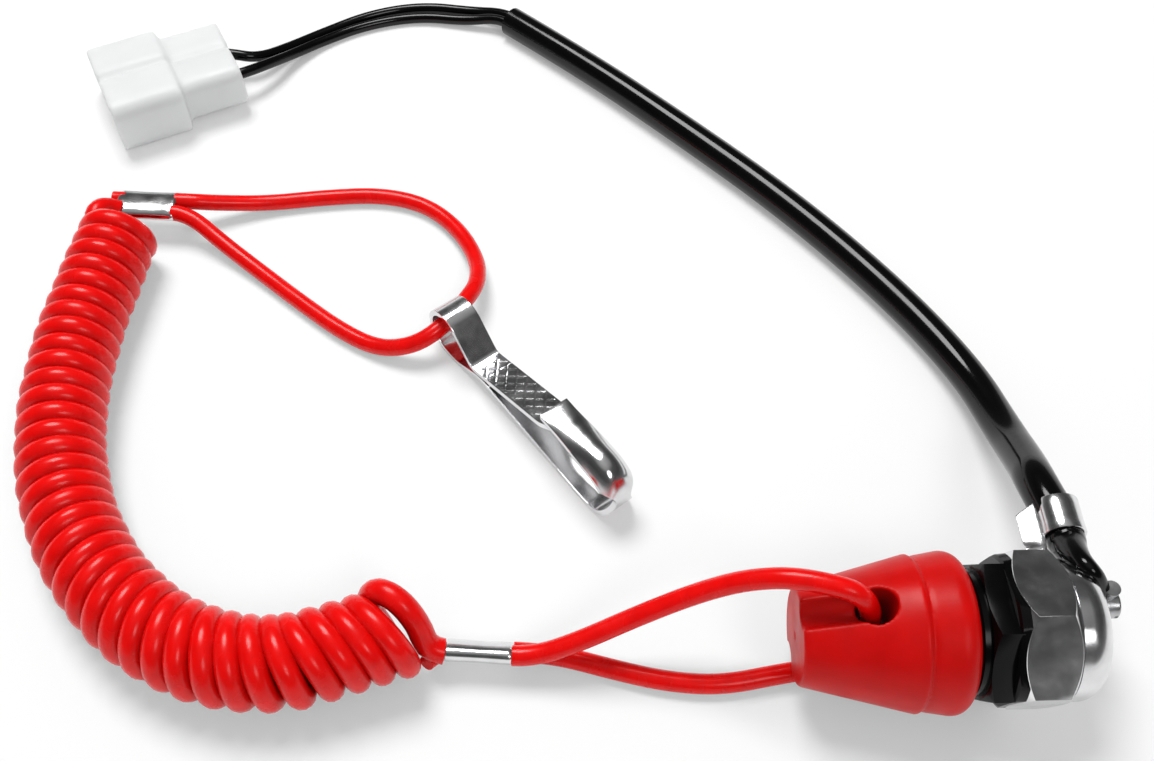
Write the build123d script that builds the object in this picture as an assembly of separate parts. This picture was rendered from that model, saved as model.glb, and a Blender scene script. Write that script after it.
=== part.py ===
from build123d import *
import math
import os

os.makedirs("parts", exist_ok=True)

# Engine kill switch with a coiled lanyard, in millimetres.
# The switch's axis is X. The origin is on it, at the panel seat: the hexagonal body's front face.
# -X points to the pull cap, +X to the rear dome, and +Z is up from the surface that everything lies on.

# Overall
RUNNING_FIT = 0.05  # radial clearance of pieces that slide or turn on each other
PART_GAP = 0.3  # between faces of pieces that move apart
EDGE = 0.4  # a small broken edge
ARC_SHARE = 0.45  # of the shorter run, taken by a cord's arc

# Threaded barrel
THREAD_RADIUS = 8.0
BARREL_FRONT = -15.7
SNAP_GROOVE_RADIUS = THREAD_RADIUS - 0.7
SNAP_GROOVE_FRONT = BARREL_FRONT + 1.6
SNAP_GROOVE_WIDTH = 1.6
BARREL_FLANGE_RADIUS = THREAD_RADIUS + 1.2
BARREL_FLANGE_THICKNESS = 2.0
CHAMBER_RADIUS = THREAD_RADIUS - 2.0
CHAMBER_FRONT = -3.0

# Front nut
NUT_WALL = 2.25
NUT_ACROSS_FLATS = 2 * (THREAD_RADIUS + NUT_WALL)
NUT_THICKNESS = 4.2
NUT_TURN = 26.7  # from +Y towards +Z, to a flat
NUT_BOSS_RADIUS = NUT_ACROSS_FLATS / 2 - 0.55
NUT_BOSS_LENGTH = 1.4
NUT_CHAMFER_DROP = 1.5
NUT_CHAMFER_ANGLE = 30.0

# Hexagonal body: it and the cap's collar lie on the surface
HEX_WALL = 3.25
HEX_ACROSS_FLATS = 2 * (THREAD_RADIUS + HEX_WALL)
HEX_LENGTH = 9.0
HEX_TURN = 15.8  # from +Y towards +Z, to a flat
HEX_CHAMFER_DROP = 2.2
HEX_CHAMFER_ANGLE = 40.0
REST_HEIGHT = HEX_ACROSS_FLATS / math.sqrt(3) * math.cos(math.radians(HEX_TURN))
FLOOR = -REST_HEIGHT

# Rear dome
DOME_RADIUS = BARREL_FLANGE_RADIUS + 1.0
DOME_WALL = 0.8
DOME_SKIRT = 2.4
DOME_DEPTH = 4.0
DOME_SHOULDER = 3.0

# Plunger
PLUNGER_RADIUS = 3.0
PLUNGER_TIP_ROUND = 1.0
PLUNGER_TIP = -15.8
PLUNGER_TAIL_RADIUS = 2.0
COLLAR_RADIUS = 3.9
COLLAR_FRONT = 1.5
COLLAR_THICKNESS = 1.5
TAIL_END = 8.5
PLUNGER_TRAVEL = 4.4

# Contacts
BRIDGE_RADIUS = CHAMBER_RADIUS - 1.0
BRIDGE_THICKNESS = 0.6
SPRING_RADIUS = 3.0
SPRING_WIRE = 0.7
SPRING_TURNS = 5
STRIP_INNER = CHAMBER_RADIUS - 0.7
STRIP_THICKNESS = 0.5
STRIP_WIDTH = 2.0
STRIP_TOE_DEPTH = 1.1
BASE_RADIUS = DOME_RADIUS - DOME_WALL - 1.3
BASE_THICKNESS = 2.0
EARTH_TAB_REACH = BASE_RADIUS - 0.1

# Rear terminal
TERMINAL_Y = CHAMBER_RADIUS / 2
TERMINAL_Z = 2.2
BUSH_RADIUS = 2.4
BUSH_OUT = 0.35  # past the dome's crown
SCREW_RADIUS = 1.5
SCREW_HEAD_RADIUS = 2.2
SCREW_HEAD_THICKNESS = 1.6
SCREW_SLOT = 0.6
SCREW_BITE = 1.4  # depth in the contact base
RING_RADIUS = 2.6
RING_THICKNESS = 0.6
RING_NECK = 2.0
RING_REACH = 4.0
LEAD_ANGLE = 28.0  # from +Y towards +Z, to the lead
WASHER_RADIUS = 2.3
WASHER_THICKNESS = 0.5

# Cable clip
SHEET = 0.8
CLIP_WIDTH = 5.5
CLIP_START = HEX_LENGTH - 5.8
CLIP_FOOT_DOWN = -3.0
CLAMP_X = HEX_LENGTH + 3.4
CLAMP_Z = 5.0
CLAMP_NEAR = HEX_ACROSS_FLATS / 2 + 4.25
CLAMP_LENGTH = 5.0
CLAMP_MOUTH = 70.0  # degrees left open under the plate
SLEEVE_RADIUS = 3.1
CLAMP_FIT = 0.1

# Pull cap
CAP_RIM = -NUT_THICKNESS - NUT_BOSS_LENGTH - PART_GAP
CAP_MOUTH_RADIUS = THREAD_RADIUS + 0.5
CAP_RIM_RADIUS = CAP_MOUTH_RADIUS + 1.9
CAP_COLLAR_LENGTH = 7.4
CAP_SHOULDER = 3.2
CAP_STEP_DROP = 0.6
CAP_CONE_TOP_RADIUS = REST_HEIGHT - 0.3
CAP_FRONT = -31.5
CAP_FRONT_RADIUS = 7.6
CAP_LAND = 4.0
CAP_FLOOR_GAP = 0.1
CORD_HOLE_X = -20.6
CORD_HOLE_RADIUS = 2.9
SADDLE_RADIUS = 2.6
SADDLE_DEPTH = 1.9
GATE_MARK_RADIUS = 0.8

# Lanyard
CORD_DIAMETER = 3.3
COIL_DIAMETER = 15.7
FERRULE_LENGTH = 10.9
FERRULE_WIDTH = 6.5
FERRULE_THICKNESS = 2.9
STRAND_PITCH = 3.34
FERRULE_TURN = -5.0
CAP_FERRULE = (-80.8, 2.7, -9.1)
CAP_FERRULE_TILT = 124.0
HOOK_FERRULE = (-150.3, 100.9, -6.6)
HOOK_LEAD_OUT = (-6.1, -1.0)  # across the coil's end face, and up
HOOK_LEAD_RUN = 2.0
HOOK_LEAD_CORNER = 3.6
CAP_LEAD_OUT = (1.0, -3.6)
CAP_LEAD_RUN = 2.6

# Snap hook
HOOK_EYE_END = (-90.7, 71.5)
HOOK_AZIMUTH = -52.7
HOOK_LENGTH = 54.0
STRIP = 1.1
HOOK_WIDTH = 6.0
EYE_HEIGHT = 11.5
NECK_L = 17.0
NECK_LOW = 3.0
NECK_TOP = 5.2
NOSE_HEIGHT = 13.4
LIP_L = HOOK_LENGTH - 15.5
LIP_HEIGHT = 12.7
GATE_TIP_L = LIP_L + 4.5
GATE_GAP = 0.1

# Wires and connector
WIRE_DIAMETER = 2.2
WIRE_PITCH = 2.3
CONNECTOR_MOUTH = (-165.2, 132.7)
CONNECTOR_AZIMUTH = 25.0
SHROUD_LENGTH = 15.5
SHROUD_LOBE = 12.8
SHROUD_HEIGHT = 12.4
SHROUD_PITCH = 11.8
SHROUD_ROUND = 3.0
SHROUD_WALL = 1.5
SOCKET_DEPTH = 12.0
TAIL_LENGTH = 13.5
TAIL_LOBE = 10.6
TAIL_HEIGHT = 10.0
TAIL_PITCH = 9.6
TAIL_ROUND = 2.6
KEY_WIDTH = 5.0
KEY_DEPTH = 7.0
BLADE_WIDTH = 6.3
BLADE_THICKNESS = 0.8
BLADE_START = 5.0
CRIMP_RADIUS = 1.6
CRIMP_LENGTH = 5.0
CRIMP_END = 26.0
CHANNEL_PLAY = 0.3

# Routes, chosen by hand. Each leaves its ferrule, clip or connector square to the face that it meets.
SLEEVE_ROUTE = [
    (-75.6, 161.2, -9.4), (-58.6, 145.2, -9.4), (-37.6, 122.6, -9.4), (-17.8, 100.4, -9.4), (-2.6, 77.0, -9.4),
    (7.0, 56.5, -9.0), (11.6, 40.0, -5.4), (CLAMP_X + 0.2, 30.0, 0.6), (CLAMP_X, 23.0, CLAMP_Z),
    (CLAMP_X, CLAMP_NEAR - PART_GAP, CLAMP_Z),
]
WIRE_A_ROUTE = [
    (-134.0, 153.4, -7.6), (-128.4, 159.0, -10.0), (-121.0, 165.0, -11.4),
    (-110.0, 170.0, -11.4), (-97.6, 171.6, -11.4), (-85.6, 168.6, -10.8),
]
WIRE_B_ROUTE = [
    (-130.6, 146.4, -7.6), (-126.6, 153.4, -10.0), (-120.2, 160.2, -11.4),
    (-110.6, 166.0, -11.4), (-98.4, 168.0, -11.4), (-87.0, 165.8, -10.8),
]
STUD_LEAD_ROUTE = [(CLAMP_X, CLAMP_NEAR - 2.2, CLAMP_Z), (CLAMP_X, CLAMP_NEAR - 4.6, CLAMP_Z)]
STUD_LEAD_RUN = 2.8
CAP_LOOP_UP = [(-65.0, 2.6, -4.8), (-54.6, 4.7, -0.6), (-45.8, 5.8, 4.4), (-38.8, 5.2, 9.4), (-31.4, 3.5, 12.7)]
CAP_LOOP_TOP = 12.5
CAP_LOOP_BOTTOM = -10.75
CAP_LOOP_DOWN = [(-32.0, -1.5, -10.8), (-42.0, -3.3, -10.8), (-50.6, -2.5, -10.8), (-58.6, -0.4, -10.8),
                 (-67.0, 2.2, -10.75)]
COIL_ROUTE = [
    (-153.6, 92.0, -4.6), (-155.3, 78.6, -4.6), (-156.7, 62.0, -4.6), (-155.6, 44.0, -4.6), (-150.4, 26.8, -4.6),
    (-141.0, 12.4, -4.6), (-128.0, 2.2, -4.6), (-113.0, -1.2, -4.6), (-101.8, 2.0, -4.6), (-95.6, 3.9, -4.6),
]
HOOK_LOOP = [
    (-136.2, 103.0, -8.4), (-126.8, 104.8, -10.6), (-115.0, 106.4, -10.8), (-103.4, 106.8, -10.8),
    (-93.8, 103.6, -10.8), (-87.0, 96.4, -10.6), (-83.0, 87.6, -9.8), (-82.4, 79.6, -7.6), (-84.5, 73.9, -6.2),
    (-89.1, 66.9, -6.2), (-94.6, 64.4, -8.2), (-101.4, 65.8, -10.6), (-108.6, 70.2, -10.8), (-117.0, 77.4, -10.8),
    (-125.8, 85.4, -10.7), (-134.2, 92.4, -9.4),
]


def turned(points):
    """A closed outline of (x, radius) points, turned about the switch's axis."""
    return revolve(make_face(Polyline(*points, close=True)), Axis.X, 360)


def disc(x, length, radius, hole=0.0, y=0.0, z=0.0):
    """A round piece along X that starts at x, with a hole through it where hole isn't 0."""
    solid = Pos(x, y, z) * extrude(Plane.YZ * Circle(radius), length)
    if hole:
        solid -= Pos(x - 1, y, z) * extrude(Plane.YZ * Circle(hole), length + 2)
    return solid


def block(x0, x1, y0, y1, z0, z1):
    return Pos((x0 + x1) / 2, (y0 + y1) / 2, (z0 + z1) / 2) * Box(x1 - x0, y1 - y0, z1 - z0)


def hexagon(x, length, across_flats, turn):
    """A hexagon with one of its flats turned that far from +Y towards +Z."""
    outline = Plane.YZ * Rot(0, 0, turn + 30) * RegularPolygon(across_flats / 2, 6, major_radius=False)
    return Pos(x, 0, 0) * extrude(outline, length)


def ring_edges(solid, x, radius):
    """The round edges about the switch's axis at that place."""
    near = 0.02
    return [
        e for e in solid.edges().filter_by(GeomType.CIRCLE)
        if abs(e.arc_center.X - x) < near and abs(e.radius - radius) < near
    ]


def arc_radii(points, share):
    """The radius at each corner of a route: its arc takes that share of the shorter run beside it."""
    radii = []
    for a, b, c in zip(points, points[1:], points[2:]):
        before, after = Vector(*b) - Vector(*a), Vector(*c) - Vector(*b)
        half_turn = math.radians(before.get_angle(after)) / 2
        radii.append(share * min(before.length, after.length) / math.tan(half_turn))
    return radii


def cord(name, points, diameter, share=ARC_SHARE):
    """A plain round cord: straight runs joined by tangent arcs."""
    radii = arc_radii(points, share)
    path = FilletPolyline(*points, radius=radii)
    start = Plane(origin=path @ 0, z_dir=path % 0)
    tube = sweep(start * Circle(diameter / 2), path=path)
    section = math.pi * diameter**2 / 4
    print(f"{name}: {path.length:.1f} mm long, tube {tube.volume:.1f} against {section * path.length:.1f} mm3,",
          "radii", [round(r, 1) for r in radii])
    return tube


def barrel():
    """Moulded barrel with the thread's outside, a snap groove, the plunger's bore and the contact chamber."""
    rear = HEX_LENGTH + BARREL_FLANGE_THICKNESS
    groove_rear = SNAP_GROOVE_FRONT + SNAP_GROOVE_WIDTH
    bore = PLUNGER_RADIUS + RUNNING_FIT
    solid = turned([
        (BARREL_FRONT, bore), (BARREL_FRONT, THREAD_RADIUS - EDGE), (BARREL_FRONT + EDGE, THREAD_RADIUS),
        (SNAP_GROOVE_FRONT - EDGE, THREAD_RADIUS), (SNAP_GROOVE_FRONT, SNAP_GROOVE_RADIUS),
        (groove_rear, SNAP_GROOVE_RADIUS), (groove_rear, THREAD_RADIUS), (HEX_LENGTH, THREAD_RADIUS),
        (HEX_LENGTH, BARREL_FLANGE_RADIUS), (rear, BARREL_FLANGE_RADIUS), (rear, CHAMBER_RADIUS),
        (CHAMBER_FRONT, CHAMBER_RADIUS), (CHAMBER_FRONT, bore),
    ])
    return solid


def chamfered_hexagon(x, length, across_flats, turn, drop, angle, front=True, rear=True):
    """A hexagon whose corners are turned off at its ends, as on a nut."""
    corner = across_flats / math.sqrt(3)
    slope = drop * math.tan(math.radians(angle))
    end = x + length
    outline = [(x, 0), (x, corner - drop) if front else (x, corner)]
    if front:
        outline.append((x + slope, corner))
    if rear:
        outline += [(end - slope, corner), (end, corner - drop)]
    else:
        outline.append((end, corner))
    outline.append((end, 0))
    return hexagon(x, length, across_flats, turn) & turned(outline)


def front_nut():
    """Moulded hexagonal nut with a round boss towards the cap."""
    front = -NUT_THICKNESS
    nut = chamfered_hexagon(front, NUT_THICKNESS, NUT_ACROSS_FLATS, NUT_TURN, NUT_CHAMFER_DROP,
                            NUT_CHAMFER_ANGLE, rear=False)
    boss_front = front - NUT_BOSS_LENGTH
    boss = disc(boss_front, NUT_BOSS_LENGTH + EDGE, NUT_BOSS_RADIUS)
    nut += chamfer(ring_edges(boss, boss_front, NUT_BOSS_RADIUS), EDGE)
    return nut - disc(boss_front - 1, NUT_THICKNESS + NUT_BOSS_LENGTH + 2, THREAD_RADIUS + RUNNING_FIT)


def hex_body():
    """Plated body that the barrel passes through: its front face is the panel seat."""
    body = chamfered_hexagon(0, HEX_LENGTH, HEX_ACROSS_FLATS, HEX_TURN, HEX_CHAMFER_DROP, HEX_CHAMFER_ANGLE)
    return body - disc(-1, HEX_LENGTH + 2, THREAD_RADIUS + RUNNING_FIT)


def dome_form(inset):
    """A drawn cup's form: a short cylinder, a shoulder arc and a flatter crown arc, all moved in by the inset."""
    skirt_end = HEX_LENGTH + DOME_SKIRT
    reach = DOME_RADIUS - DOME_SHOULDER
    crown_radius = (DOME_DEPTH**2 + reach**2 - DOME_SHOULDER**2) / (2 * (DOME_DEPTH - DOME_SHOULDER))
    crown_centre = skirt_end + DOME_DEPTH - crown_radius
    lean = math.atan2(reach, skirt_end - crown_centre)
    shoulder = DOME_SHOULDER - inset
    top = crown_radius - inset

    def on_crown(angle):
        return (crown_centre + top * math.cos(angle), top * math.sin(angle))

    def on_shoulder(angle):
        return (skirt_end + shoulder * math.cos(angle), reach + shoulder * math.sin(angle))

    upright = math.pi / 2
    outline = [
        Polyline((crown_centre + top, 0), (HEX_LENGTH, 0), (HEX_LENGTH, DOME_RADIUS - inset),
                 (skirt_end, DOME_RADIUS - inset)),
        ThreePointArc(on_shoulder(upright), on_shoulder((lean + upright) / 2), on_shoulder(lean)),
        ThreePointArc(on_crown(lean), on_crown(lean / 2), on_crown(0)),
    ]
    return revolve(make_face(outline), Axis.X, 360)


def crown():
    return HEX_LENGTH + DOME_SKIRT + DOME_DEPTH


def rear_dome():
    """Drawn and plated cover over the contacts, with a hole for the terminal's bush."""
    cup = dome_form(0) - dome_form(DOME_WALL)
    return cup - disc(HEX_LENGTH + DOME_SKIRT, DOME_DEPTH + 1, BUSH_RADIUS + RUNNING_FIT, y=TERMINAL_Y, z=TERMINAL_Z)


def base_front():
    return HEX_LENGTH + BARREL_FLANGE_THICKNESS


def base_rear():
    return base_front() + BASE_THICKNESS


def contact_base():
    """Insulating disc behind the barrel: it closes the chamber and holds both contacts."""
    base = disc(base_front(), BASE_THICKNESS, BASE_RADIUS)
    slot_in, slot_out = STRIP_INNER - RUNNING_FIT, STRIP_INNER + STRIP_THICKNESS + RUNNING_FIT
    half = STRIP_WIDTH / 2 + RUNNING_FIT
    for side in (1, -1):
        y0, y1 = sorted((side * slot_in, side * slot_out))
        base -= block(base_front() - 1, base_rear() + 1, y0, y1, -half, half)
    return base - disc(base_rear() - SCREW_BITE, SCREW_BITE + 1, SCREW_RADIUS + RUNNING_FIT,
                       y=TERMINAL_Y, z=TERMINAL_Z)


def toe_rear():
    """The strips' toes wait just past where the bridge stops."""
    return COLLAR_FRONT + COLLAR_THICKNESS - PLUNGER_TRAVEL - EDGE / 4


def contact_strip(side):
    """A brass strip along the chamber's wall, with a toe that reaches in front of the bridge."""
    half = STRIP_WIDTH / 2
    outer = STRIP_INNER + STRIP_THICKNESS
    front = toe_rear() - STRIP_THICKNESS
    y0, y1 = sorted((side * STRIP_INNER, side * outer))
    strip = block(front, base_rear() + STRIP_THICKNESS, y0, y1, -half, half)
    y0, y1 = sorted((side * (STRIP_INNER - STRIP_TOE_DEPTH), side * outer))
    return strip + block(front, toe_rear(), y0, y1, -half, half)


def live_contact():
    """Its rear end is a plate round the terminal screw, under the bush."""
    plate = block(base_rear(), base_rear() + STRIP_THICKNESS, TERMINAL_Y - BUSH_RADIUS,
                  STRIP_INNER + STRIP_THICKNESS, -STRIP_WIDTH / 2, TERMINAL_Z + BUSH_RADIUS)
    hole = disc(base_rear() - 1, STRIP_THICKNESS + 2, SCREW_RADIUS + RUNNING_FIT, y=TERMINAL_Y, z=TERMINAL_Z)
    return contact_strip(1) + (plate - hole)


def earth_contact():
    """Its rear end is a tab that reaches the dome's wall."""
    tab = block(base_rear(), base_rear() + STRIP_THICKNESS, -EARTH_TAB_REACH, -STRIP_INNER,
                -STRIP_WIDTH / 2, STRIP_WIDTH / 2)
    return contact_strip(-1) + tab


def bush_front():
    return base_rear() + STRIP_THICKNESS


def bush_rear():
    return crown() + BUSH_OUT


def terminal_bush():
    """Insulator that carries the terminal screw through the dome."""
    return disc(bush_front(), bush_rear() - bush_front(), BUSH_RADIUS, SCREW_RADIUS + RUNNING_FIT,
                y=TERMINAL_Y, z=TERMINAL_Z)


def beside_terminal(reach):
    """A point in the ring's middle plane, that far from the screw towards the lead."""
    lean = math.radians(LEAD_ANGLE)
    return (bush_rear() + RING_THICKNESS / 2, TERMINAL_Y + reach * math.cos(lean), TERMINAL_Z + reach * math.sin(lean))


def ring_terminal():
    """Flat ring under the screw, with a neck that ends at the lead."""
    neck = block(0, RING_THICKNESS, 0, RING_REACH, -RING_NECK / 2, RING_NECK / 2)
    neck = Pos(bush_rear(), TERMINAL_Y, TERMINAL_Z) * Rot(LEAD_ANGLE, 0, 0) * neck
    ring = disc(bush_rear(), RING_THICKNESS, RING_RADIUS, y=TERMINAL_Y, z=TERMINAL_Z) + neck
    return ring - disc(bush_rear() - 1, RING_THICKNESS + 2, SCREW_RADIUS + RUNNING_FIT, y=TERMINAL_Y, z=TERMINAL_Z)


def stud_lead():
    """The bared lead's insulated part, from the boot to the ring's neck."""
    ends = [beside_terminal(RING_REACH + STUD_LEAD_RUN), beside_terminal(RING_REACH)]
    return cord("stud_lead", STUD_LEAD_ROUTE + ends, WIRE_DIAMETER)


def spring_washer():
    """Split washer between the ring and the screw's head."""
    x = bush_rear() + RING_THICKNESS
    washer = disc(x, WASHER_THICKNESS, WASHER_RADIUS, SCREW_RADIUS + RUNNING_FIT, y=TERMINAL_Y, z=TERMINAL_Z)
    return washer - block(x - 1, x + WASHER_THICKNESS + 1, TERMINAL_Y - WASHER_RADIUS - 1, TERMINAL_Y,
                          TERMINAL_Z - EDGE / 2, TERMINAL_Z + EDGE / 2)


def terminal_screw():
    """Slotted pan-head screw through the bush into the contact base."""
    head = bush_rear() + RING_THICKNESS + WASHER_THICKNESS
    start = base_rear() - SCREW_BITE
    screw = disc(start, head - start + EDGE, SCREW_RADIUS, y=TERMINAL_Y, z=TERMINAL_Z)
    pan = disc(head, SCREW_HEAD_THICKNESS, SCREW_HEAD_RADIUS, y=TERMINAL_Y, z=TERMINAL_Z)
    top = pan.faces().sort_by(Axis.X)[-1]
    pan = fillet(top.edges(), EDGE)
    slot = block(head + SCREW_HEAD_THICKNESS / 2, head + SCREW_HEAD_THICKNESS + 1,
                 TERMINAL_Y - SCREW_HEAD_RADIUS - 1, TERMINAL_Y + SCREW_HEAD_RADIUS + 1,
                 TERMINAL_Z - SCREW_SLOT / 2, TERMINAL_Z + SCREW_SLOT / 2)
    return screw + pan - slot


def plunger():
    """Round-nosed plunger with the collar that carries the contact bridge, and the spring's tail."""
    collar_rear = COLLAR_FRONT + COLLAR_THICKNESS
    body = turned([
        (PLUNGER_TIP, 0), (PLUNGER_TIP, PLUNGER_RADIUS), (COLLAR_FRONT, PLUNGER_RADIUS), (COLLAR_FRONT, COLLAR_RADIUS),
        (collar_rear, COLLAR_RADIUS), (collar_rear, PLUNGER_TAIL_RADIUS), (TAIL_END, PLUNGER_TAIL_RADIUS),
        (TAIL_END, 0),
    ])
    return fillet(ring_edges(body, PLUNGER_TIP, PLUNGER_RADIUS), PLUNGER_TIP_ROUND)


def contact_bridge():
    """Brass disc on the plunger's tail, against its collar."""
    return disc(COLLAR_FRONT + COLLAR_THICKNESS, BRIDGE_THICKNESS, BRIDGE_RADIUS, PLUNGER_TAIL_RADIUS + RUNNING_FIT)


def plunger_spring():
    """Compression spring between the bridge and the contact base, as it stands with the cap on."""
    start = COLLAR_FRONT + COLLAR_THICKNESS + BRIDGE_THICKNESS + SPRING_WIRE / 2
    length = base_front() - SPRING_WIRE / 2 - start
    path = Helix(length / SPRING_TURNS, length, SPRING_RADIUS)
    coil = sweep(Plane(origin=path @ 0, z_dir=path % 0) * Circle(SPRING_WIRE / 2), path=path, is_frenet=True)
    return Pos(start, 0, 0) * Rot(0, 90, 0) * coil


def clip_foot_top():
    """Where the clip's foot, along the hexagon's back flat, reaches the plate's top face."""
    out = HEX_ACROSS_FLATS / 2 + SHEET
    lean = math.radians(HEX_TURN)
    plate_top = CLAMP_Z + SLEEVE_RADIUS + CLAMP_FIT + SHEET
    return (plate_top - out * math.sin(lean)) / math.cos(lean)


def cable_clip():
    """Folded sheet: a foot on the hexagon's back flat, a plate outwards and a clamp rolled round the cable."""
    flat = HEX_ACROSS_FLATS / 2
    x1 = CLIP_START + CLIP_WIDTH
    foot = block(CLIP_START, x1, flat, flat + SHEET, CLIP_FOOT_DOWN, clip_foot_top())
    foot = Rot(HEX_TURN, 0, 0) * foot
    inner = SLEEVE_RADIUS + CLAMP_FIT
    plate_low = CLAMP_Z + inner
    lean = math.radians(HEX_TURN)
    back_of_foot = (flat + SHEET) * math.cos(lean) - clip_foot_top() * math.sin(lean)
    far = CLAMP_NEAR + CLAMP_LENGTH
    plate = block(CLIP_START, x1, back_of_foot - SHEET / 2, far, plate_low, plate_low + SHEET)
    bridge = block(x1 - SHEET, CLAMP_X, CLAMP_NEAR, far, plate_low, plate_low + SHEET)
    roll = Plane.XZ * (Circle(inner + SHEET) - Circle(inner))
    mouth_reach = 3 * inner
    mouth_low = 90 + EDGE + CLAMP_MOUTH
    mouth = make_face(Polyline(
        (0, 0), (0, mouth_reach), (-mouth_reach, mouth_reach),
        (mouth_reach * math.cos(math.radians(mouth_low)), mouth_reach * math.sin(math.radians(mouth_low))), close=True))
    clamp = extrude(roll - Plane.XZ * mouth, CLAMP_LENGTH)
    clamp = Pos(CLAMP_X, far, CLAMP_Z) * clamp
    return foot + plate + bridge + clamp


def wire_boot():
    """Moulded boot where the cable leaves the clamp, with the lead coming out of its end."""
    end = SLEEVE_ROUTE[-1]
    length = end[1] - STUD_LEAD_ROUTE[0][1]
    boot = Pos(end[0], end[1], end[2]) * extrude(Plane.XZ * Circle(SLEEVE_RADIUS - EDGE), length, taper=5)
    return boot


def cap():
    """Moulded pull cap: a cone and a rounded collar, with a cross hole, two saddles and a blind bore."""
    step = CAP_RIM - CAP_COLLAR_LENGTH
    collar = REST_HEIGHT
    shoulder = CAP_RIM - CAP_SHOULDER
    floor = BARREL_FRONT - CAP_FLOOR_GAP
    land = floor + CAP_LAND
    mid_x = shoulder + CAP_SHOULDER * math.sin(math.radians(45))
    mid_r = CAP_RIM_RADIUS + (collar - CAP_RIM_RADIUS) * math.cos(math.radians(45))
    outline = [
        Polyline(
            (shoulder, collar), (step + CAP_STEP_DROP, collar - CAP_STEP_DROP), (step, CAP_CONE_TOP_RADIUS - CAP_STEP_DROP),
            (step - CAP_STEP_DROP, CAP_CONE_TOP_RADIUS), (CAP_FRONT, CAP_FRONT_RADIUS), (CAP_FRONT, 0), (floor, 0),
            (floor, THREAD_RADIUS + RUNNING_FIT), (land, THREAD_RADIUS + RUNNING_FIT),
            (land + EDGE, CAP_MOUTH_RADIUS), (CAP_RIM, CAP_MOUTH_RADIUS), (CAP_RIM, CAP_RIM_RADIUS)),
        ThreePointArc((CAP_RIM, CAP_RIM_RADIUS), (mid_x, mid_r), (shoulder, collar)),
    ]
    body = revolve(make_face(outline), Axis.X, 360)
    body = fillet(ring_edges(body, CAP_FRONT, CAP_FRONT_RADIUS), EDGE)
    body -= Pos(CORD_HOLE_X, 0, 0) * Cylinder(CORD_HOLE_RADIUS, 3 * REST_HEIGHT)
    body -= saddle() + Rot(180, 0, 0) * saddle()
    return body - disc(CAP_FRONT - 1, 1 + EDGE / 2, GATE_MARK_RADIUS)


def cone_radius(x):
    """The cap's outside radius on its cone."""
    back = CAP_RIM - CAP_COLLAR_LENGTH - CAP_STEP_DROP
    share = (x - CAP_FRONT) / (back - CAP_FRONT)
    return CAP_FRONT_RADIUS + (CAP_CONE_TOP_RADIUS - CAP_FRONT_RADIUS) * share


def saddle():
    """Round channel along the cone, from the cross hole to the front, for the cord to lie in."""
    lift = SADDLE_RADIUS - SADDLE_DEPTH
    back = Vector(CORD_HOLE_X, 0, cone_radius(CORD_HOLE_X) + lift)
    front = Vector(CAP_FRONT, 0, cone_radius(CAP_FRONT) + lift)
    along = (front - back).normalized()
    channel = Plane(origin=back, z_dir=along) * Circle(SADDLE_RADIUS)
    channel = extrude(channel, (front - back).length + SADDLE_RADIUS)
    return channel + Pos(*back) * Sphere(SADDLE_RADIUS)


def ferrule_place(centre, tilt):
    return Pos(*centre) * Rot(0, 0, FERRULE_TURN) * Rot(tilt, 0, 0)


def ferrule(centre, tilt):
    """Crimped oval sleeve with softly rounded ends, its cords pressed into it."""
    outline = Plane.YZ * SlotOverall(FERRULE_WIDTH, FERRULE_THICKNESS)
    body = extrude(outline, FERRULE_LENGTH / 2, both=True)
    ends = body.faces().sort_by(Axis.X)
    body = chamfer(ends[0].edges() + ends[-1].edges(), EDGE / 2)
    return ferrule_place(centre, tilt) * body


def strand_run(centre, tilt, side, end, run):
    """A strand's two first points at a ferrule: on its end face, and square out from it."""
    points = []
    for reach in (FERRULE_LENGTH / 2, FERRULE_LENGTH / 2 + run):
        place = ferrule_place(centre, tilt) * Pos(end * reach, side * STRAND_PITCH / 2, 0)
        points.append(tuple(place.position))
    return points


def cap_loop():
    """Loop of cord from the ferrule, over the cap's saddle, down its cross hole and back along the surface."""
    upper = strand_run(CAP_FERRULE, CAP_FERRULE_TILT, 1, 1, CORD_DIAMETER)
    lower = strand_run(CAP_FERRULE, CAP_FERRULE_TILT, -1, 1, CORD_DIAMETER)
    through = [(CORD_HOLE_X, 0, CAP_LOOP_TOP), (CORD_HOLE_X, 0, CAP_LOOP_BOTTOM)]
    return cord("cap_loop", upper + CAP_LOOP_UP + through + CAP_LOOP_DOWN + lower[::-1], CORD_DIAMETER)


def hook_loop():
    """Loop of cord from the ferrule through the hook's eye and back."""
    upper = strand_run(HOOK_FERRULE, 0, 1, 1, CORD_DIAMETER)
    lower = strand_run(HOOK_FERRULE, 0, -1, 1, CORD_DIAMETER)
    return cord("hook_loop", upper + HOOK_LOOP + lower[::-1], CORD_DIAMETER)


def coil_face(end, inward, across, up):
    """A point on the coil's end face, and the direction straight out of it."""
    away = (Vector(*end) - Vector(*inward)).normalized()
    side = away.cross(Vector(0, 0, 1)).normalized()
    return Vector(*end) + side * across + Vector(0, 0, up), away


def coil_lead_hook_end():
    """The coil's last cord, from the left of its end face round into the ferrule's near strand."""
    start, away = coil_face(COIL_ROUTE[0], COIL_ROUTE[1], *HOOK_LEAD_OUT)
    face = strand_run(HOOK_FERRULE, 0, -1, -1, HOOK_LEAD_CORNER)
    points = [tuple(start), tuple(start + away * HOOK_LEAD_RUN), face[1], face[0]]
    return cord("coil_lead_hook_end", points, CORD_DIAMETER, share=2 * ARC_SHARE)


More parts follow.
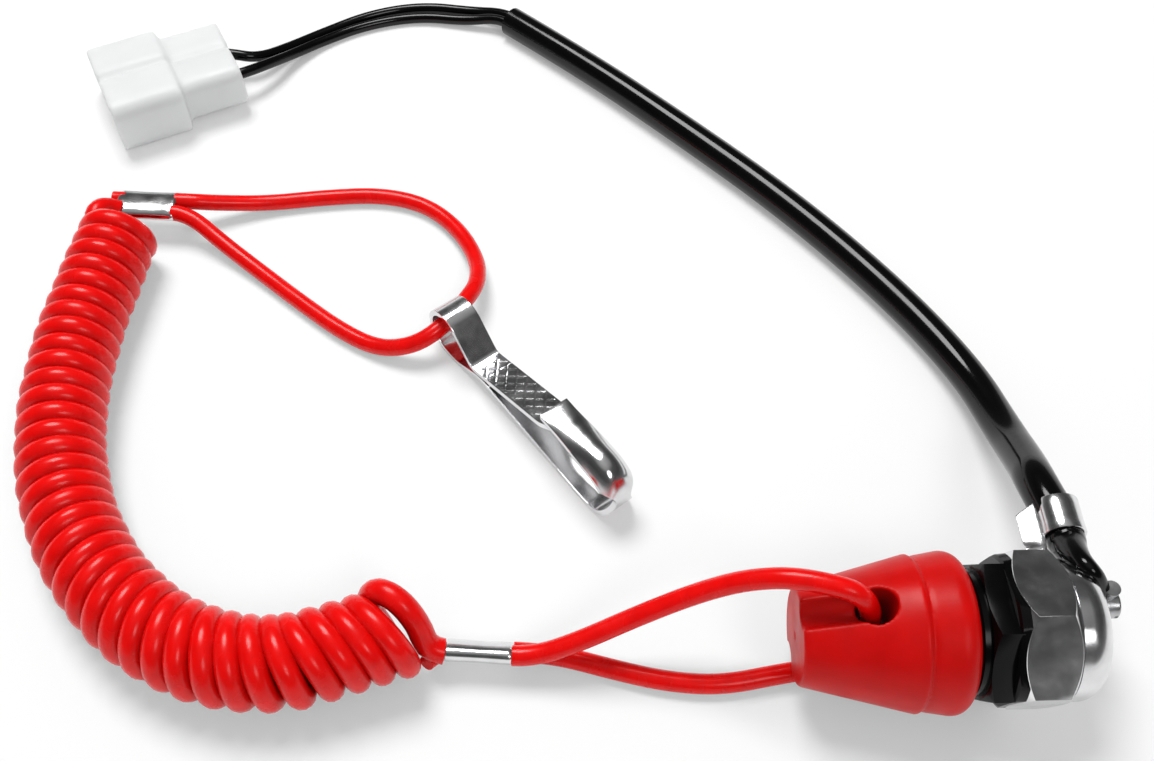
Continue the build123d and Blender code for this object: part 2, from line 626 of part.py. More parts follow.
def coil_lead_cap_end():
    """The coil's first cord, from low on its end face to the ferrule's far strand."""
    start, away = coil_face(COIL_ROUTE[-1], COIL_ROUTE[-2], *CAP_LEAD_OUT)
    face = strand_run(CAP_FERRULE, CAP_FERRULE_TILT, 1, -1, CAP_LEAD_RUN)
    return cord("coil_lead_cap_end", [tuple(start), tuple(start + away * CAP_LEAD_RUN), face[1], face[0]], CORD_DIAMETER)


def hook_place():
    return Pos(HOOK_EYE_END[0], HOOK_EYE_END[1], FLOOR) * Rot(0, 0, HOOK_AZIMUTH)


def strip_along(points, radii):
    """A strip of the hook's width bent along (length, height) points."""
    path = FilletPolyline(*[(x, 0, z) for x, z in points], radius=radii)
    start = Plane(origin=path @ 0, x_dir=(0, 1, 0), z_dir=path % 0)
    return sweep(start * Rectangle(HOOK_WIDTH, STRIP), path=path)


def hook_frame():
    """Folded strip: front leg's root, eye, back leg and the nose that ends in a lip over the gate."""
    half = STRIP / 2
    top = EYE_HEIGHT - half
    eye = (top - half) / 2
    nose = (NOSE_HEIGHT - STRIP) / 2
    tip = HOOK_LENGTH - half
    shape = strip_along(
        [(NECK_L + 1.2, NECK_TOP), (NECK_L, NECK_TOP), (8.2, top), (half, top), (half, half), (8.6, half),
         (NECK_L - 1.0, NECK_LOW + half), (LIP_L + 1.5, half), (tip, half), (tip, NOSE_HEIGHT - half),
         (LIP_L, LIP_HEIGHT - half)],
        [2.0, 5.0, eye * 0.98, eye * 0.98, 5.0, 8.0, 30.0, nose * 0.95, nose * 0.95])
    corner = HOOK_WIDTH * 0.42
    for side in (1, -1):
        y0, y1 = sorted((side * (HOOK_WIDTH / 2 - corner), side * HOOK_WIDTH))
        waste = block(HOOK_LENGTH - corner, HOOK_LENGTH + 1, y0, y1, -1, NOSE_HEIGHT + 1)
        centre = Pos(HOOK_LENGTH - corner, side * (HOOK_WIDTH / 2 - corner), 0)
        shape -= waste - centre * Cylinder(corner, 4 * NOSE_HEIGHT)
    return hook_place() * shape


def hook_gate():
    """Leaf that the thumb presses, from the neck to its tip under the lip."""
    root = NECK_L + 1.2 + GATE_GAP
    tip_height = LIP_HEIGHT - STRIP - PART_GAP - STRIP / 2
    shape = strip_along([(root, NECK_TOP), (root + 2.0, NECK_TOP), (GATE_TIP_L, tip_height)], [6.0])
    return hook_place() * shape


def lobed(lobe, height, pitch, corner, start, length, inset=0.0):
    """Two rounded rectangles side by side, extruded along the connector."""
    size = lobe - 2 * inset
    outline = Sketch()
    for side in (1, -1):
        outline += Pos(side * pitch / 2, 0) * RectangleRounded(size, height - 2 * inset, corner - inset)
    if inset:
        outline += Rectangle(pitch, height - 2 * inset - 2 * (corner - inset))
    return Pos(start, 0, SHROUD_HEIGHT / 2) * extrude(Plane.YZ * outline, length)


def connector_place():
    return Pos(CONNECTOR_MOUTH[0], CONNECTOR_MOUTH[1], FLOOR) * Rot(0, 0, CONNECTOR_AZIMUTH)


def connector_housing():
    """Moulded two-way housing: a wide open shroud, a narrower tail and a channel for each terminal."""
    shroud = lobed(SHROUD_LOBE, SHROUD_HEIGHT, SHROUD_PITCH, SHROUD_ROUND, 0, SHROUD_LENGTH)
    tail = lobed(TAIL_LOBE, TAIL_HEIGHT, TAIL_PITCH, TAIL_ROUND, SHROUD_LENGTH - 1, TAIL_LENGTH + 1)
    body = shroud + tail
    body -= lobed(SHROUD_LOBE, SHROUD_HEIGHT, SHROUD_PITCH, SHROUD_ROUND, -1, SOCKET_DEPTH + 1, SHROUD_WALL)
    body -= block(-1, KEY_DEPTH, -KEY_WIDTH / 2, KEY_WIDTH / 2, -1, SHROUD_WALL + 1)
    channel = CRIMP_RADIUS + CHANNEL_PLAY
    wide = BLADE_WIDTH / 2 + CHANNEL_PLAY
    for side in (1, -1):
        y = side * TAIL_PITCH / 2
        body -= block(SOCKET_DEPTH - 1, SHROUD_LENGTH + TAIL_LENGTH + 1, y - wide, y + wide,
                      SHROUD_HEIGHT / 2 - channel, SHROUD_HEIGHT / 2 + channel)
    return connector_place() * body


def blade_terminal(side):
    """Flat blade in the shroud with a crimp barrel behind it."""
    y = side * TAIL_PITCH / 2
    mid = SHROUD_HEIGHT / 2
    blade = block(BLADE_START, CRIMP_END - CRIMP_LENGTH / 2, y - BLADE_WIDTH / 2, y + BLADE_WIDTH / 2,
                  mid - BLADE_THICKNESS / 2, mid + BLADE_THICKNESS / 2)
    tip = blade.edges().filter_by(Axis.Z).group_by(Axis.X)[0]
    blade = chamfer(tip, BLADE_THICKNESS)
    crimp = Pos(CRIMP_END - CRIMP_LENGTH, y, mid) * extrude(Plane.YZ * Circle(CRIMP_RADIUS), CRIMP_LENGTH)
    return connector_place() * (blade + crimp)


def wire(name, side, route):
    """A wire from its crimp, along its route, to the sleeve's end face."""
    route = route + sleeve_end(side)
    place = connector_place() * Pos(CRIMP_END, side * TAIL_PITCH / 2, SHROUD_HEIGHT / 2)
    start = tuple(place.position)
    mouth = connector_place() * Pos(SHROUD_LENGTH + TAIL_LENGTH + 2, side * TAIL_PITCH / 2, SHROUD_HEIGHT / 2)
    return cord(name, [start, tuple(mouth.position)] + route, WIRE_DIAMETER)


def sleeve_end(side):
    """Where a wire meets the sleeve's end face, and a point square out from it."""
    first, second = Vector(*SLEEVE_ROUTE[0]), Vector(*SLEEVE_ROUTE[1])
    out = (first - second).normalized()
    across = out.cross(Vector(0, 0, 1)).normalized() * (side * WIRE_PITCH / 2)
    return [tuple(first + across + out * CORD_DIAMETER), tuple(first + across)]


PIECES = {
    "barrel": barrel, "front_nut": front_nut, "hex_body": hex_body, "rear_dome": rear_dome,
    "contact_base": contact_base, "live_contact": live_contact, "earth_contact": earth_contact,
    "terminal_bush": terminal_bush, "ring_terminal": ring_terminal, "spring_washer": spring_washer,
    "terminal_screw": terminal_screw, "plunger": plunger, "contact_bridge": contact_bridge,
    "plunger_spring": plunger_spring, "cable_clip": cable_clip, "wire_boot": wire_boot, "cap": cap,
    "ferrule_cap_end": lambda: ferrule(CAP_FERRULE, CAP_FERRULE_TILT),
    "ferrule_hook_end": lambda: ferrule(HOOK_FERRULE, 0),
    "cap_loop": cap_loop,
    "hook_loop": hook_loop,
    "coil": lambda: cord("coil", COIL_ROUTE, COIL_DIAMETER),
    "coil_lead_hook_end": coil_lead_hook_end,
    "coil_lead_cap_end": coil_lead_cap_end,
    "hook_frame": hook_frame,
    "hook_gate": hook_gate,
    "connector_housing": connector_housing,
    "blade_terminal_a": lambda: blade_terminal(1),
    "blade_terminal_b": lambda: blade_terminal(-1),
    "wire_a": lambda: wire("wire_a", 1, WIRE_A_ROUTE),
    "wire_b": lambda: wire("wire_b", -1, WIRE_B_ROUTE),
    "cable_sleeve": lambda: cord("cable_sleeve", SLEEVE_ROUTE, 2 * SLEEVE_RADIUS),
    "stud_lead": stud_lead,
}

for node, make in PIECES.items():
    export_step(make(), f"parts/{node}.step")
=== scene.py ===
import math

import bmesh
import bpy
from bpy.props import FloatProperty, FloatVectorProperty, IntProperty, PointerProperty
from mathutils import Matrix, Vector


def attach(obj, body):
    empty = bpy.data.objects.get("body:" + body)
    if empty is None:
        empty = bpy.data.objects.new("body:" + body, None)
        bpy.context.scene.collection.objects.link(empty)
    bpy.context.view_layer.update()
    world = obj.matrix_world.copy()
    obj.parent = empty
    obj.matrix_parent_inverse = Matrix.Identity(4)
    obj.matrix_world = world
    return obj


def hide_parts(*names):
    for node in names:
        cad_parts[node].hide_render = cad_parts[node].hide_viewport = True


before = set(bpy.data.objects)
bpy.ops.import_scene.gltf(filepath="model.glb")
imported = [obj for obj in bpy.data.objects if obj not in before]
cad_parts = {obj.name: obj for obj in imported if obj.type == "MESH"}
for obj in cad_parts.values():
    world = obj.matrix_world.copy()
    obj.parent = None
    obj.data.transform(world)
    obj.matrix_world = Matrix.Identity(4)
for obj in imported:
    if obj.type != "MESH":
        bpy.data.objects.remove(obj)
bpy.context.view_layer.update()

bl_info = {
    "name": "Engine kill switch with lanyard",
    "version": (1, 0, 0),
    "blender": (4, 5, 0),
    "location": "View3D > Sidebar > Kill switch",
    "description": "Dresses the engine kill switch, its coiled lanyard, snap hook and cable",
    "category": "Add Mesh",
}

SHARP = math.radians(30)

# The camera and the surface that everything lies on.
CAMERA_PLACE = (-0.067267, -0.080585, 0.179237)
CAMERA_TARGET = (-0.063620, 0.058672, -0.0125)
CAMERA_LENS = 38.995
FLOOR = -0.0125
AMBIENT = 0.36

# The switch, along X.
THREAD_RADIUS = 0.0080
NUT_FACE = -0.0042
NUT_BOSS_END = -0.0056
NUT_FLATS = 0.0205
NUT_TURN = 26.7
HEX_END = 0.0090
HEX_FLATS = 0.0225
HEX_TURN = 15.8
HEX_CHAMFER = 0.0022
HEX_CHAMFER_ANGLE = 40
DOME_RADIUS = 0.0109
DOME_WALL = 0.0008
DOME_SKIRT = 0.0024
DOME_DEPTH = 0.0040
DOME_SHOULDER = 0.0040
TERMINAL_Y = 0.0030
TERMINAL_Z = 0.0022
BARREL_FRONT = -0.0157
GROOVE_FRONT = -0.0141
GROOVE_REAR = -0.0125
GROOVE_RADIUS = 0.0073
PLUNGER_BORE = 0.00305
CHAMBER_RADIUS = 0.0060
CHAMBER_FRONT = -0.0030
FLANGE_RADIUS = 0.0092
FLANGE_END = 0.0110

# The snap hook: its eye's end, and the directions along and across it.
HOOK_END = (-0.0891, 0.0715, FLOOR)
HOOK_AZIMUTH = math.radians(-52.7)
HOOK_WIDTH = 0.0060
HOOK_LENGTH = 0.0540
HOOK_SHEET = 0.0011
HOOK_LINE = [
    (0.0182, 0.0052), (0.0134, 0.0040), (0.0070, 0.01095), (0.00055, 0.01095), (0.00055, 0.00055),
    (0.0086, 0.00055), (0.0160, 0.00355), (0.0400, 0.00055), (0.05345, 0.00055), (0.05345, 0.01285),
    (0.0346, 0.01215),
]
HOOK_ROUNDS = [0.0020, 0.0045, 0.0050, 0.0050, 0.0050, 0.0080, 0.0300, 0.0058, 0.0058]
GATE_LINE = [(0.0392, 0.01070), (0.0183, 0.0052)]
KNURL_SPAN = (0.0155, 0.0332)
KNURL_PITCH = (0.0029, 0.0025)
KNURL_DEPTH = 0.0001

# The ferrules: centre, tilt about their own length, and length, width and thickness. The cut tails beside
# them: place and radius in millimetres.
FERRULE_TURN = math.radians(-5)
CAP_FERRULE = ((-0.0808, 0.0027, -0.0091), 124, (0.0113, 0.0068, 0.0034))
HOOK_FERRULE = ((-0.1503, 0.1009, -0.0066), 0, (0.0122, 0.0072, 0.0031))
CAP_TAIL = [
    ((-0.0855, 0.0037, -0.0100), 1.5), ((-0.0870, 0.0034, -0.0100), 1.55), ((-0.0882, 0.0022, -0.0094), 1.5),
    ((-0.0892, 0.0008, -0.0088), 1.3),
]
HOOK_TAIL = [
    ((-0.1550, 0.10290, -0.0066), 1.5), ((-0.1565, 0.1030, -0.0066), 1.5), ((-0.1577, 0.1031, -0.0065), 1.45),
]

# The cable's clip: a folded plate, and a roll round the cable.
CLIP_SHEET = 0.0005
CLIP_SIDES = (0.0053, 0.0086)
CLIP_LEVEL = 0.0059
CLIP_END = 0.0194
ROLL_X = 0.0120
ROLL_Y = 0.0163
ROLL_Z = 0.0052
ROLL_RADIUS = 0.0031

# The routes of the cords, in metres.
CAP_LOOP = [
    (-0.07545, 0.0013, -0.00772), (-0.07217, 0.00101, -0.00772), (-0.065, 0.002, -0.0048),
    (-0.0546, 0.0047, -0.0006), (-0.0458, 0.0058, 0.0044), (-0.0388, 0.0052, 0.0094), (-0.0314, 0.0035, 0.0127),
    (-0.0206, 0, 0.0125), (-0.0206, 0, -0.01075), (-0.032, -0.0015, -0.0108), (-0.042, -0.0033, -0.0108),
    (-0.0506, -0.0025, -0.0108), (-0.0586, -0.0004, -0.0108), (-0.067, 0.0022, -0.01075),
    (-0.072, 0.00287, -0.01048), (-0.07529, 0.00316, -0.01048),
]
HOOK_LOOP = [
    (-0.14473, 0.10209, -0.0066), (-0.14144, 0.1018, -0.0066), (-0.1362, 0.103, -0.0084),
    (-0.1268, 0.1048, -0.0106), (-0.115, 0.1064, -0.0108), (-0.1034, 0.1068, -0.0108), (-0.0938, 0.1036, -0.0108),
    (-0.087, 0.0964, -0.0106), (-0.083, 0.0876, -0.0098), (-0.0824, 0.0796, -0.0076), (-0.0845, 0.0739, -0.0062),
    (-0.0891, 0.0669, -0.0062), (-0.0946, 0.0644, -0.0082), (-0.1014, 0.0658, -0.0106), (-0.1086, 0.0702, -0.0108),
    (-0.117, 0.0774, -0.0108), (-0.1258, 0.0854, -0.0107), (-0.1342, 0.0924, -0.0094), (-0.14173, 0.09847, -0.0066),
    (-0.14502, 0.09876, -0.0066),
]
COIL = [
    (-0.1536, 0.092, -0.0046), (-0.1553, 0.0786, -0.0046), (-0.1567, 0.062, -0.0046), (-0.1556, 0.044, -0.0046),
    (-0.1504, 0.0268, -0.0046), (-0.141, 0.0124, -0.0046), (-0.128, 0.0022, -0.0046), (-0.113, -0.0012, -0.0046),
    (-0.1018, 0.002, -0.0046), (-0.0956, 0.0039, -0.0046),
]
HOOK_LEAD = [
    (-0.15587, 0.09971, -0.0066), (-0.1576, 0.0996, -0.0056), (-0.1588, 0.0982, -0.0043), (-0.1596, 0.096, -0.0042),
]
CAP_LEAD = [
    (-0.0986, 0.0093, -0.0062), (-0.0981, 0.0099, -0.0028), (-0.0966, 0.0094, 0.0001), (-0.0943, 0.0082, 0.001),
    (-0.0919, 0.0064, 0.0002), (-0.09, 0.0047, -0.0031), (-0.0889, 0.00247, -0.0072), (-0.08631, 0.00225, -0.00772),
]
SLEEVE = [
    (-0.0764, 0.1612, -0.0092), (-0.0594, 0.1452, -0.0092), (-0.0384, 0.1226, -0.0092), (-0.0188, 0.1004, -0.0092),
    (-0.0019, 0.077, -0.0092), (0.0092, 0.0565, -0.0088), (0.0118, 0.04, -0.0054), (0.0113, 0.03, 0.0006),
    (0.0103, 0.023, 0.005), (0.012, 0.0156, 0.0051),
]
WIRE_A = [
    (-0.14366, 0.14804, -0.0063), (-0.14, 0.148, -0.0065), (-0.134, 0.1478, -0.0078), (-0.1284, 0.1538, -0.01),
    (-0.121, 0.1606, -0.0113), (-0.11, 0.1673, -0.0113), (-0.0976, 0.17, -0.0113), (-0.0856, 0.167, -0.0108),
    (-0.078, 0.1643, -0.0092), (-0.0756, 0.16204, -0.0092),
]
WIRE_B = [
    (-0.13961, 0.13934, -0.0063), (-0.13508, 0.14145, -0.0063), (-0.1306, 0.146, -0.0076), (-0.1266, 0.1519, -0.01),
    (-0.1202, 0.1582, -0.0113), (-0.1106, 0.1636, -0.0113), (-0.0984, 0.1663, -0.0113), (-0.087, 0.1637, -0.0108),
    (-0.07958, 0.16262, -0.0092), (-0.07718, 0.16036, -0.0092),
]
REAR_LEAD = [
    ((0.0121, 0.0142, 0.0052), 3.0), ((0.0121, 0.0128, 0.0053), 3.0), ((0.0121, 0.0116, 0.0057), 2.9),
    ((0.0119, 0.0106, 0.0064), 2.6), ((0.0117, 0.009, 0.0077), 2.2), ((0.0117, 0.0072, 0.009), 1.8),
    ((0.0121, 0.0056, 0.0098), 1.5), ((0.0132, 0.0046, 0.0093), 1.3), ((0.0142, 0.0041, 0.008), 1.2),
    ((0.0152, 0.0037, 0.0062), 1.1), ((0.0158, 0.0034, 0.0045), 1.1),
]


class KillSwitchSizes(bpy.types.PropertyGroup):
    """Sizes of the pieces that are modelled here."""

    cord_diameter: FloatProperty(name="Cord", description="Diameter of the red cord", default=0.0033,
                                 min=0.002, max=0.005, precision=4, unit="LENGTH")
    coil_cord: FloatProperty(name="Coiled cord", description="Diameter of the cord where it is coiled",
                             default=0.0042, min=0.002, max=0.0042, precision=4, unit="LENGTH")
    coil_radius: FloatProperty(name="Coil radius", description="Radius of a turn's middle line", default=0.00575,
                               min=0.004, max=0.0059, precision=4, unit="LENGTH")
    coil_turns: IntProperty(name="Coil turns", description="Whole turns between the coil's ends", default=35,
                            min=10, max=38)
    sleeve_diameter: FloatProperty(name="Cable", description="Diameter of the cable's sleeve", default=0.0066,
                                   min=0.004, max=0.0066, precision=4, unit="LENGTH")
    wire_diameter: FloatProperty(name="Wire", description="Diameter of each wire", default=0.0024,
                                 min=0.001, max=0.0024, precision=4, unit="LENGTH")
    thread_pitch: FloatProperty(name="Thread pitch", description="Pitch of the barrel's thread", default=0.001,
                                min=0.0005, max=0.002, precision=4, unit="LENGTH")
    edge_round: FloatProperty(name="Edge round", description="Rounding of a plated edge", default=0.00018,
                              min=0.0, max=0.0005, precision=5, unit="LENGTH")


class KillSwitchColours(bpy.types.PropertyGroup):
    """Colours of the pieces."""

    cap: FloatVectorProperty(name="Cap", description="Moulded red of the pull cap", subtype="COLOR", size=3,
                             default=(0.66, 0.001, 0.0006), min=0, max=1)
    cord: FloatVectorProperty(name="Cord", description="Red of the coiled cord and its loops", subtype="COLOR",
                              size=3, default=(0.95, 0.001, 0.0005), min=0, max=1)
    black: FloatVectorProperty(name="Black", description="Moulded black", subtype="COLOR", size=3,
                               default=(0.002, 0.002, 0.0022), min=0, max=1)
    sleeve: FloatVectorProperty(name="Sleeve", description="Black of the cable and wires", subtype="COLOR",
                                size=3, default=(0.0022, 0.0022, 0.0024), min=0, max=1)
    chrome: FloatVectorProperty(name="Chrome", description="Bright plating", subtype="COLOR", size=3,
                                default=(0.80, 0.80, 0.81), min=0, max=1)
    nylon: FloatVectorProperty(name="Nylon", description="Natural nylon of the connector", subtype="COLOR",
                               size=3, default=(0.80, 0.81, 0.81), min=0, max=1)


def settings(context):
    return context.scene.kill_switch_sizes, context.scene.kill_switch_colours


# Materials

def shader_group(name, inputs, outputs):
    """An empty node group with those inputs (name, socket, default) and outputs (name, socket)."""
    group = bpy.data.node_groups.new(name, "ShaderNodeTree")
    for label, kind, default in inputs:
        socket = group.interface.new_socket(label, in_out="INPUT", socket_type=kind)
        if default is not None:
            socket.default_value = default
    for label, kind in outputs:
        group.interface.new_socket(label, in_out="OUTPUT", socket_type=kind)
    return group, group.nodes.new("NodeGroupInput"), group.nodes.new("NodeGroupOutput")


def feed(tree, inlet, source):
    """Feeds a socket from a socket, or sets it to a number or grey."""
    if not isinstance(source, (int, float)):
        tree.links.new(source, inlet)
    elif inlet.type == "RGBA":
        inlet.default_value = (source, source, source, 1)
    else:
        inlet.default_value = source


def maths(tree, operation, first, second):
    node = tree.nodes.new("ShaderNodeMath")
    node.operation = operation
    feed(tree, node.inputs[0], first)
    feed(tree, node.inputs[1], second)
    return node.outputs[0]


def colour_mix(tree, share, first, second):
    node = tree.nodes.new("ShaderNodeMix")
    node.data_type = "RGBA"
    feed(tree, node.inputs[0], share)
    feed(tree, node.inputs[6], first)
    feed(tree, node.inputs[7], second)
    return node.outputs[2]


def noise_in(group, inlet, scale_name, detail=4.0, offset=0.0):
    """Noise that reads the group's Vector, at the group's own scale."""
    noise = group.nodes.new("ShaderNodeTexNoise")
    noise.inputs["Detail"].default_value = detail
    if offset:
        shift = group.nodes.new("ShaderNodeVectorMath")
        shift.inputs[1].default_value = (offset, offset, offset)
        group.links.new(inlet.outputs["Vector"], shift.inputs[0])
        group.links.new(shift.outputs[0], noise.inputs["Vector"])
    else:
        group.links.new(inlet.outputs["Vector"], noise.inputs["Vector"])
    group.links.new(inlet.outputs[scale_name], noise.inputs["Scale"])
    return noise


def spread(group, value, low, high, low_to, high_to):
    """Maps value from low..high to the two sockets or numbers."""
    node = group.nodes.new("ShaderNodeMapRange")
    node.inputs["From Min"].default_value = low
    node.inputs["From Max"].default_value = high
    group.links.new(value, node.inputs["Value"])
    feed(group, node.inputs["To Min"], low_to)
    feed(group, node.inputs["To Max"], high_to)
    return node.outputs["Result"]


def make_colour_drift():
    """A colour that drifts a little darker and lighter over the surface."""
    group, inlet, outlet = shader_group(
        "Colour drift",
        [("Vector", "NodeSocketVector", None), ("Colour", "NodeSocketColor", (0.5, 0.5, 0.5, 1)),
         ("Scale", "NodeSocketFloat", 200.0), ("Amount", "NodeSocketFloat", 0.1)],
        [("Colour", "NodeSocketColor")])
    noise = noise_in(group, inlet, "Scale")
    down = maths(group, "SUBTRACT", 1.0, inlet.outputs["Amount"])
    level = spread(group, noise.outputs["Fac"], 0.3, 0.7, down, 1.0)
    mix = group.nodes.new("ShaderNodeVectorMath")
    mix.operation = "SCALE"
    group.links.new(inlet.outputs["Colour"], mix.inputs[0])
    group.links.new(level, mix.inputs["Scale"])
    group.links.new(mix.outputs[0], outlet.inputs["Colour"])
    return group


def make_handling():
    """Roughness of a handled surface: smears and finer rubbed spots between two levels."""
    group, inlet, outlet = shader_group(
        "Handling",
        [("Vector", "NodeSocketVector", None), ("Scale", "NodeSocketFloat", 150.0),
         ("Low", "NodeSocketFloat", 0.2), ("High", "NodeSocketFloat", 0.4)],
        [("Roughness", "NodeSocketFloat")])
    smears = noise_in(group, inlet, "Scale", detail=6.0, offset=0.013)
    level = spread(group, smears.outputs["Fac"], 0.32, 0.68, inlet.outputs["Low"], inlet.outputs["High"])
    group.links.new(level, outlet.inputs["Roughness"])
    return group


def make_grain():
    """Height of a moulded or plated skin: slow waves and a fine grain."""
    group, inlet, outlet = shader_group(
        "Grain",
        [("Vector", "NodeSocketVector", None), ("Wave scale", "NodeSocketFloat", 150.0),
         ("Grain scale", "NodeSocketFloat", 3000.0), ("Grain share", "NodeSocketFloat", 0.3)],
        [("Height", "NodeSocketFloat")])
    waves = noise_in(group, inlet, "Wave scale", detail=2.0)
    grain = noise_in(group, inlet, "Grain scale", detail=3.0, offset=0.007)
    mix = group.nodes.new("ShaderNodeMix")
    mix.data_type = "FLOAT"
    group.links.new(inlet.outputs["Grain share"], mix.inputs[0])
    group.links.new(waves.outputs["Fac"], mix.inputs[2])
    group.links.new(grain.outputs["Fac"], mix.inputs[3])
    group.links.new(mix.outputs[0], outlet.inputs["Height"])
    return group


GROUP_MAKERS = {"Colour drift": make_colour_drift, "Handling": make_handling, "Grain": make_grain}


def placed_group(tree, name, vector, **values):
    """Places a shared group in a material, fed with the vector and the given values."""
    node = tree.nodes.new("ShaderNodeGroup")
    node.node_tree = bpy.data.node_groups.get(name) or GROUP_MAKERS[name]()
    tree.links.new(vector, node.inputs["Vector"])
    for key, value in values.items():
        node.inputs[key.replace("_", " ")].default_value = value
    return node


def finish_material(name, colour, rough, metallic=0.0, drift=(200.0, 0.1), smear_scale=150.0,
                    grain=(150.0, 3000.0, 0.3), bump=0.02, depth=0.0001, ior=1.5, bounce=None):
    """A Principled surface whose colour drifts, whose gloss is handled and whose skin has a grain."""
    made = bpy.data.materials.get(name)
    if made:
        return made
    material = bpy.data.materials.new(name)
    material.use_nodes = True
    tree = material.node_tree
    shader = tree.nodes["Principled BSDF"]
    shader.inputs["Metallic"].default_value = metallic
    shader.inputs["IOR"].default_value = ior
    where = tree.nodes.new("ShaderNodeTexCoord").outputs["Object"]
    tint = placed_group(tree, "Colour drift", where, Scale=drift[0], Amount=drift[1], Colour=(*colour, 1))
    shade = tint.outputs["Colour"]
    if bounce is not None:
        shade = neutral_bounce(tree, shade, bounce)
    tree.links.new(shade, shader.inputs["Base Color"])
    gloss = placed_group(tree, "Handling", where, Scale=smear_scale, Low=rough[0], High=rough[1])
    tree.links.new(gloss.outputs["Roughness"], shader.inputs["Roughness"])
    skin = placed_group(tree, "Grain", where, Wave_scale=grain[0], Grain_scale=grain[1], Grain_share=grain[2])
    relief = tree.nodes.new("ShaderNodeBump")
    relief.inputs["Strength"].default_value = bump
    relief.inputs["Distance"].default_value = depth
    tree.links.new(skin.outputs["Height"], relief.inputs["Height"])
    tree.links.new(relief.outputs["Normal"], shader.inputs["Normal"])
    return material


def neutral_bounce(tree, colour, level):
    """The colour as it is seen, and a plain grey where it only lights what lies beside it."""
    ray = tree.nodes.new("ShaderNodeLightPath")
    return colour_mix(tree, ray.outputs["Is Diffuse Ray"], colour, level)


def cap_red(colours):
    return finish_material("Cap red", colours.cap, (0.30, 0.44), drift=(260.0, 0.12), smear_scale=180.0,
                           grain=(260.0, 2200.0, 0.25), bump=0.30, depth=0.00010, ior=1.26, bounce=0.16)


def cord_red(colours):
    return finish_material("Cord red", colours.cord, (0.20, 0.30), drift=(420.0, 0.14), smear_scale=300.0,
                           grain=(520.0, 2600.0, 0.2), bump=0.12, depth=0.00012, ior=1.36, bounce=0.30)


def moulded_black(colours):
    return finish_material("Moulded black", colours.black, (0.16, 0.26), drift=(300.0, 0.3),
                           smear_scale=220.0, grain=(300.0, 2500.0, 0.2), bump=0.12, depth=0.00008, ior=1.26)


def sleeve_black(colours):
    return finish_material("Sleeve black", colours.sleeve, (0.09, 0.16), drift=(160.0, 0.3),
                           smear_scale=120.0, grain=(210.0, 1800.0, 0.25), bump=0.18, depth=0.00012, ior=1.38)


def chrome(colours):
    return finish_material("Chrome", colours.chrome, (0.12, 0.26), metallic=1.0, drift=(240.0, 0.16),
                           smear_scale=260.0, grain=(140.0, 2600.0, 0.06), bump=0.09, depth=0.00010)


def plated_steel(colours):
    return finish_material("Plated steel", (0.55, 0.55, 0.56), (0.24, 0.42), metallic=1.0, drift=(500.0, 0.25),
                           smear_scale=500.0, grain=(500.0, 4000.0, 0.4), bump=0.25, depth=0.00006)


def brass(colours):
    return finish_material("Brass", (0.72, 0.52, 0.22), (0.22, 0.40), metallic=1.0, drift=(400.0, 0.3),
                           smear_scale=400.0, grain=(400.0, 4000.0, 0.4), bump=0.2, depth=0.00006)


def insulator(colours):
    return finish_material("Insulator", (0.10, 0.05, 0.03), (0.55, 0.75), drift=(700.0, 0.35),
                           smear_scale=500.0, grain=(500.0, 3500.0, 0.6), bump=0.4, depth=0.00008)


def nylon(colours):
    material = finish_material("Nylon", colours.nylon, (0.42, 0.58), drift=(90.0, 0.05), smear_scale=150.0,
                               grain=(160.0, 1900.0, 0.2), bump=0.25, depth=0.00012)
    shader = material.node_tree.nodes["Principled BSDF"]
    shader.inputs["Subsurface Weight"].default_value = 0.35
    shader.inputs["Subsurface Radius"].default_value = (1.0, 1.0, 1.0)
    shader.inputs["Subsurface Scale"].default_value = 0.003
    return material


# Shapes

def mesh_of(name, bm):
    mesh = bpy.data.meshes.new(name)
    bm.to_mesh(mesh)
    bm.free()
    return mesh


def add_piece(name, bm, material, body, nodes=(), angle=SHARP):
    """Makes the object of a finished bmesh, in place, gives it its material and body, and hides the CAD nodes it
    replaces.
    """
    mesh = mesh_of(name, bm)
    mesh.shade_smooth()
    mesh.set_sharp_from_angle(angle=angle)
    return register_piece(name, mesh, material, body, nodes)


def register_piece(name, data, material, body, nodes=()):
    data.materials.clear()
    data.materials.append(material)
    piece = bpy.data.objects.new(name, data)
    bpy.context.scene.collection.objects.link(piece)
    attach(piece, body)
    if nodes:
        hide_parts(*nodes)
    return piece


def spun(profile, steps=96):
    """A ring or shaft turned round the X axis from (x, radius) points."""
    bm = bmesh.new()
    verts = [bm.verts.new((x, 0, r)) for x, r in profile]
    edges = [bm.edges.new(pair) for pair in zip(verts, verts[1:] + verts[:1])]
    bmesh.ops.spin(bm, geom=verts + edges, cent=(0, 0, 0), axis=(1, 0, 0), angle=2 * math.pi, steps=steps,
                   use_merge=True, use_normal_flip=False)
    bmesh.ops.remove_doubles(bm, verts=bm.verts, dist=1e-7)
    bmesh.ops.recalc_face_normals(bm, faces=bm.faces)
    return bm


def cut_flats(bm, across, turn, sides=6):
    """Cuts flats round the X axis into a turned blank, so its turned chamfers stay on the corners."""
    for i in range(sides):
        angle = math.radians(turn + 360 * i / sides)
        normal = Vector((0, math.cos(angle), math.sin(angle)))
        cut = bmesh.ops.bisect_plane(bm, geom=bm.verts[:] + bm.edges[:] + bm.faces[:], dist=1e-8,
                                     plane_co=normal * across / 2, plane_no=normal, clear_outer=True)
        rim = [e for e in cut["geom_cut"] if isinstance(e, bmesh.types.BMEdge)]
        bmesh.ops.contextual_create(bm, geom=rim)
    bmesh.ops.recalc_face_normals(bm, faces=bm.faces)


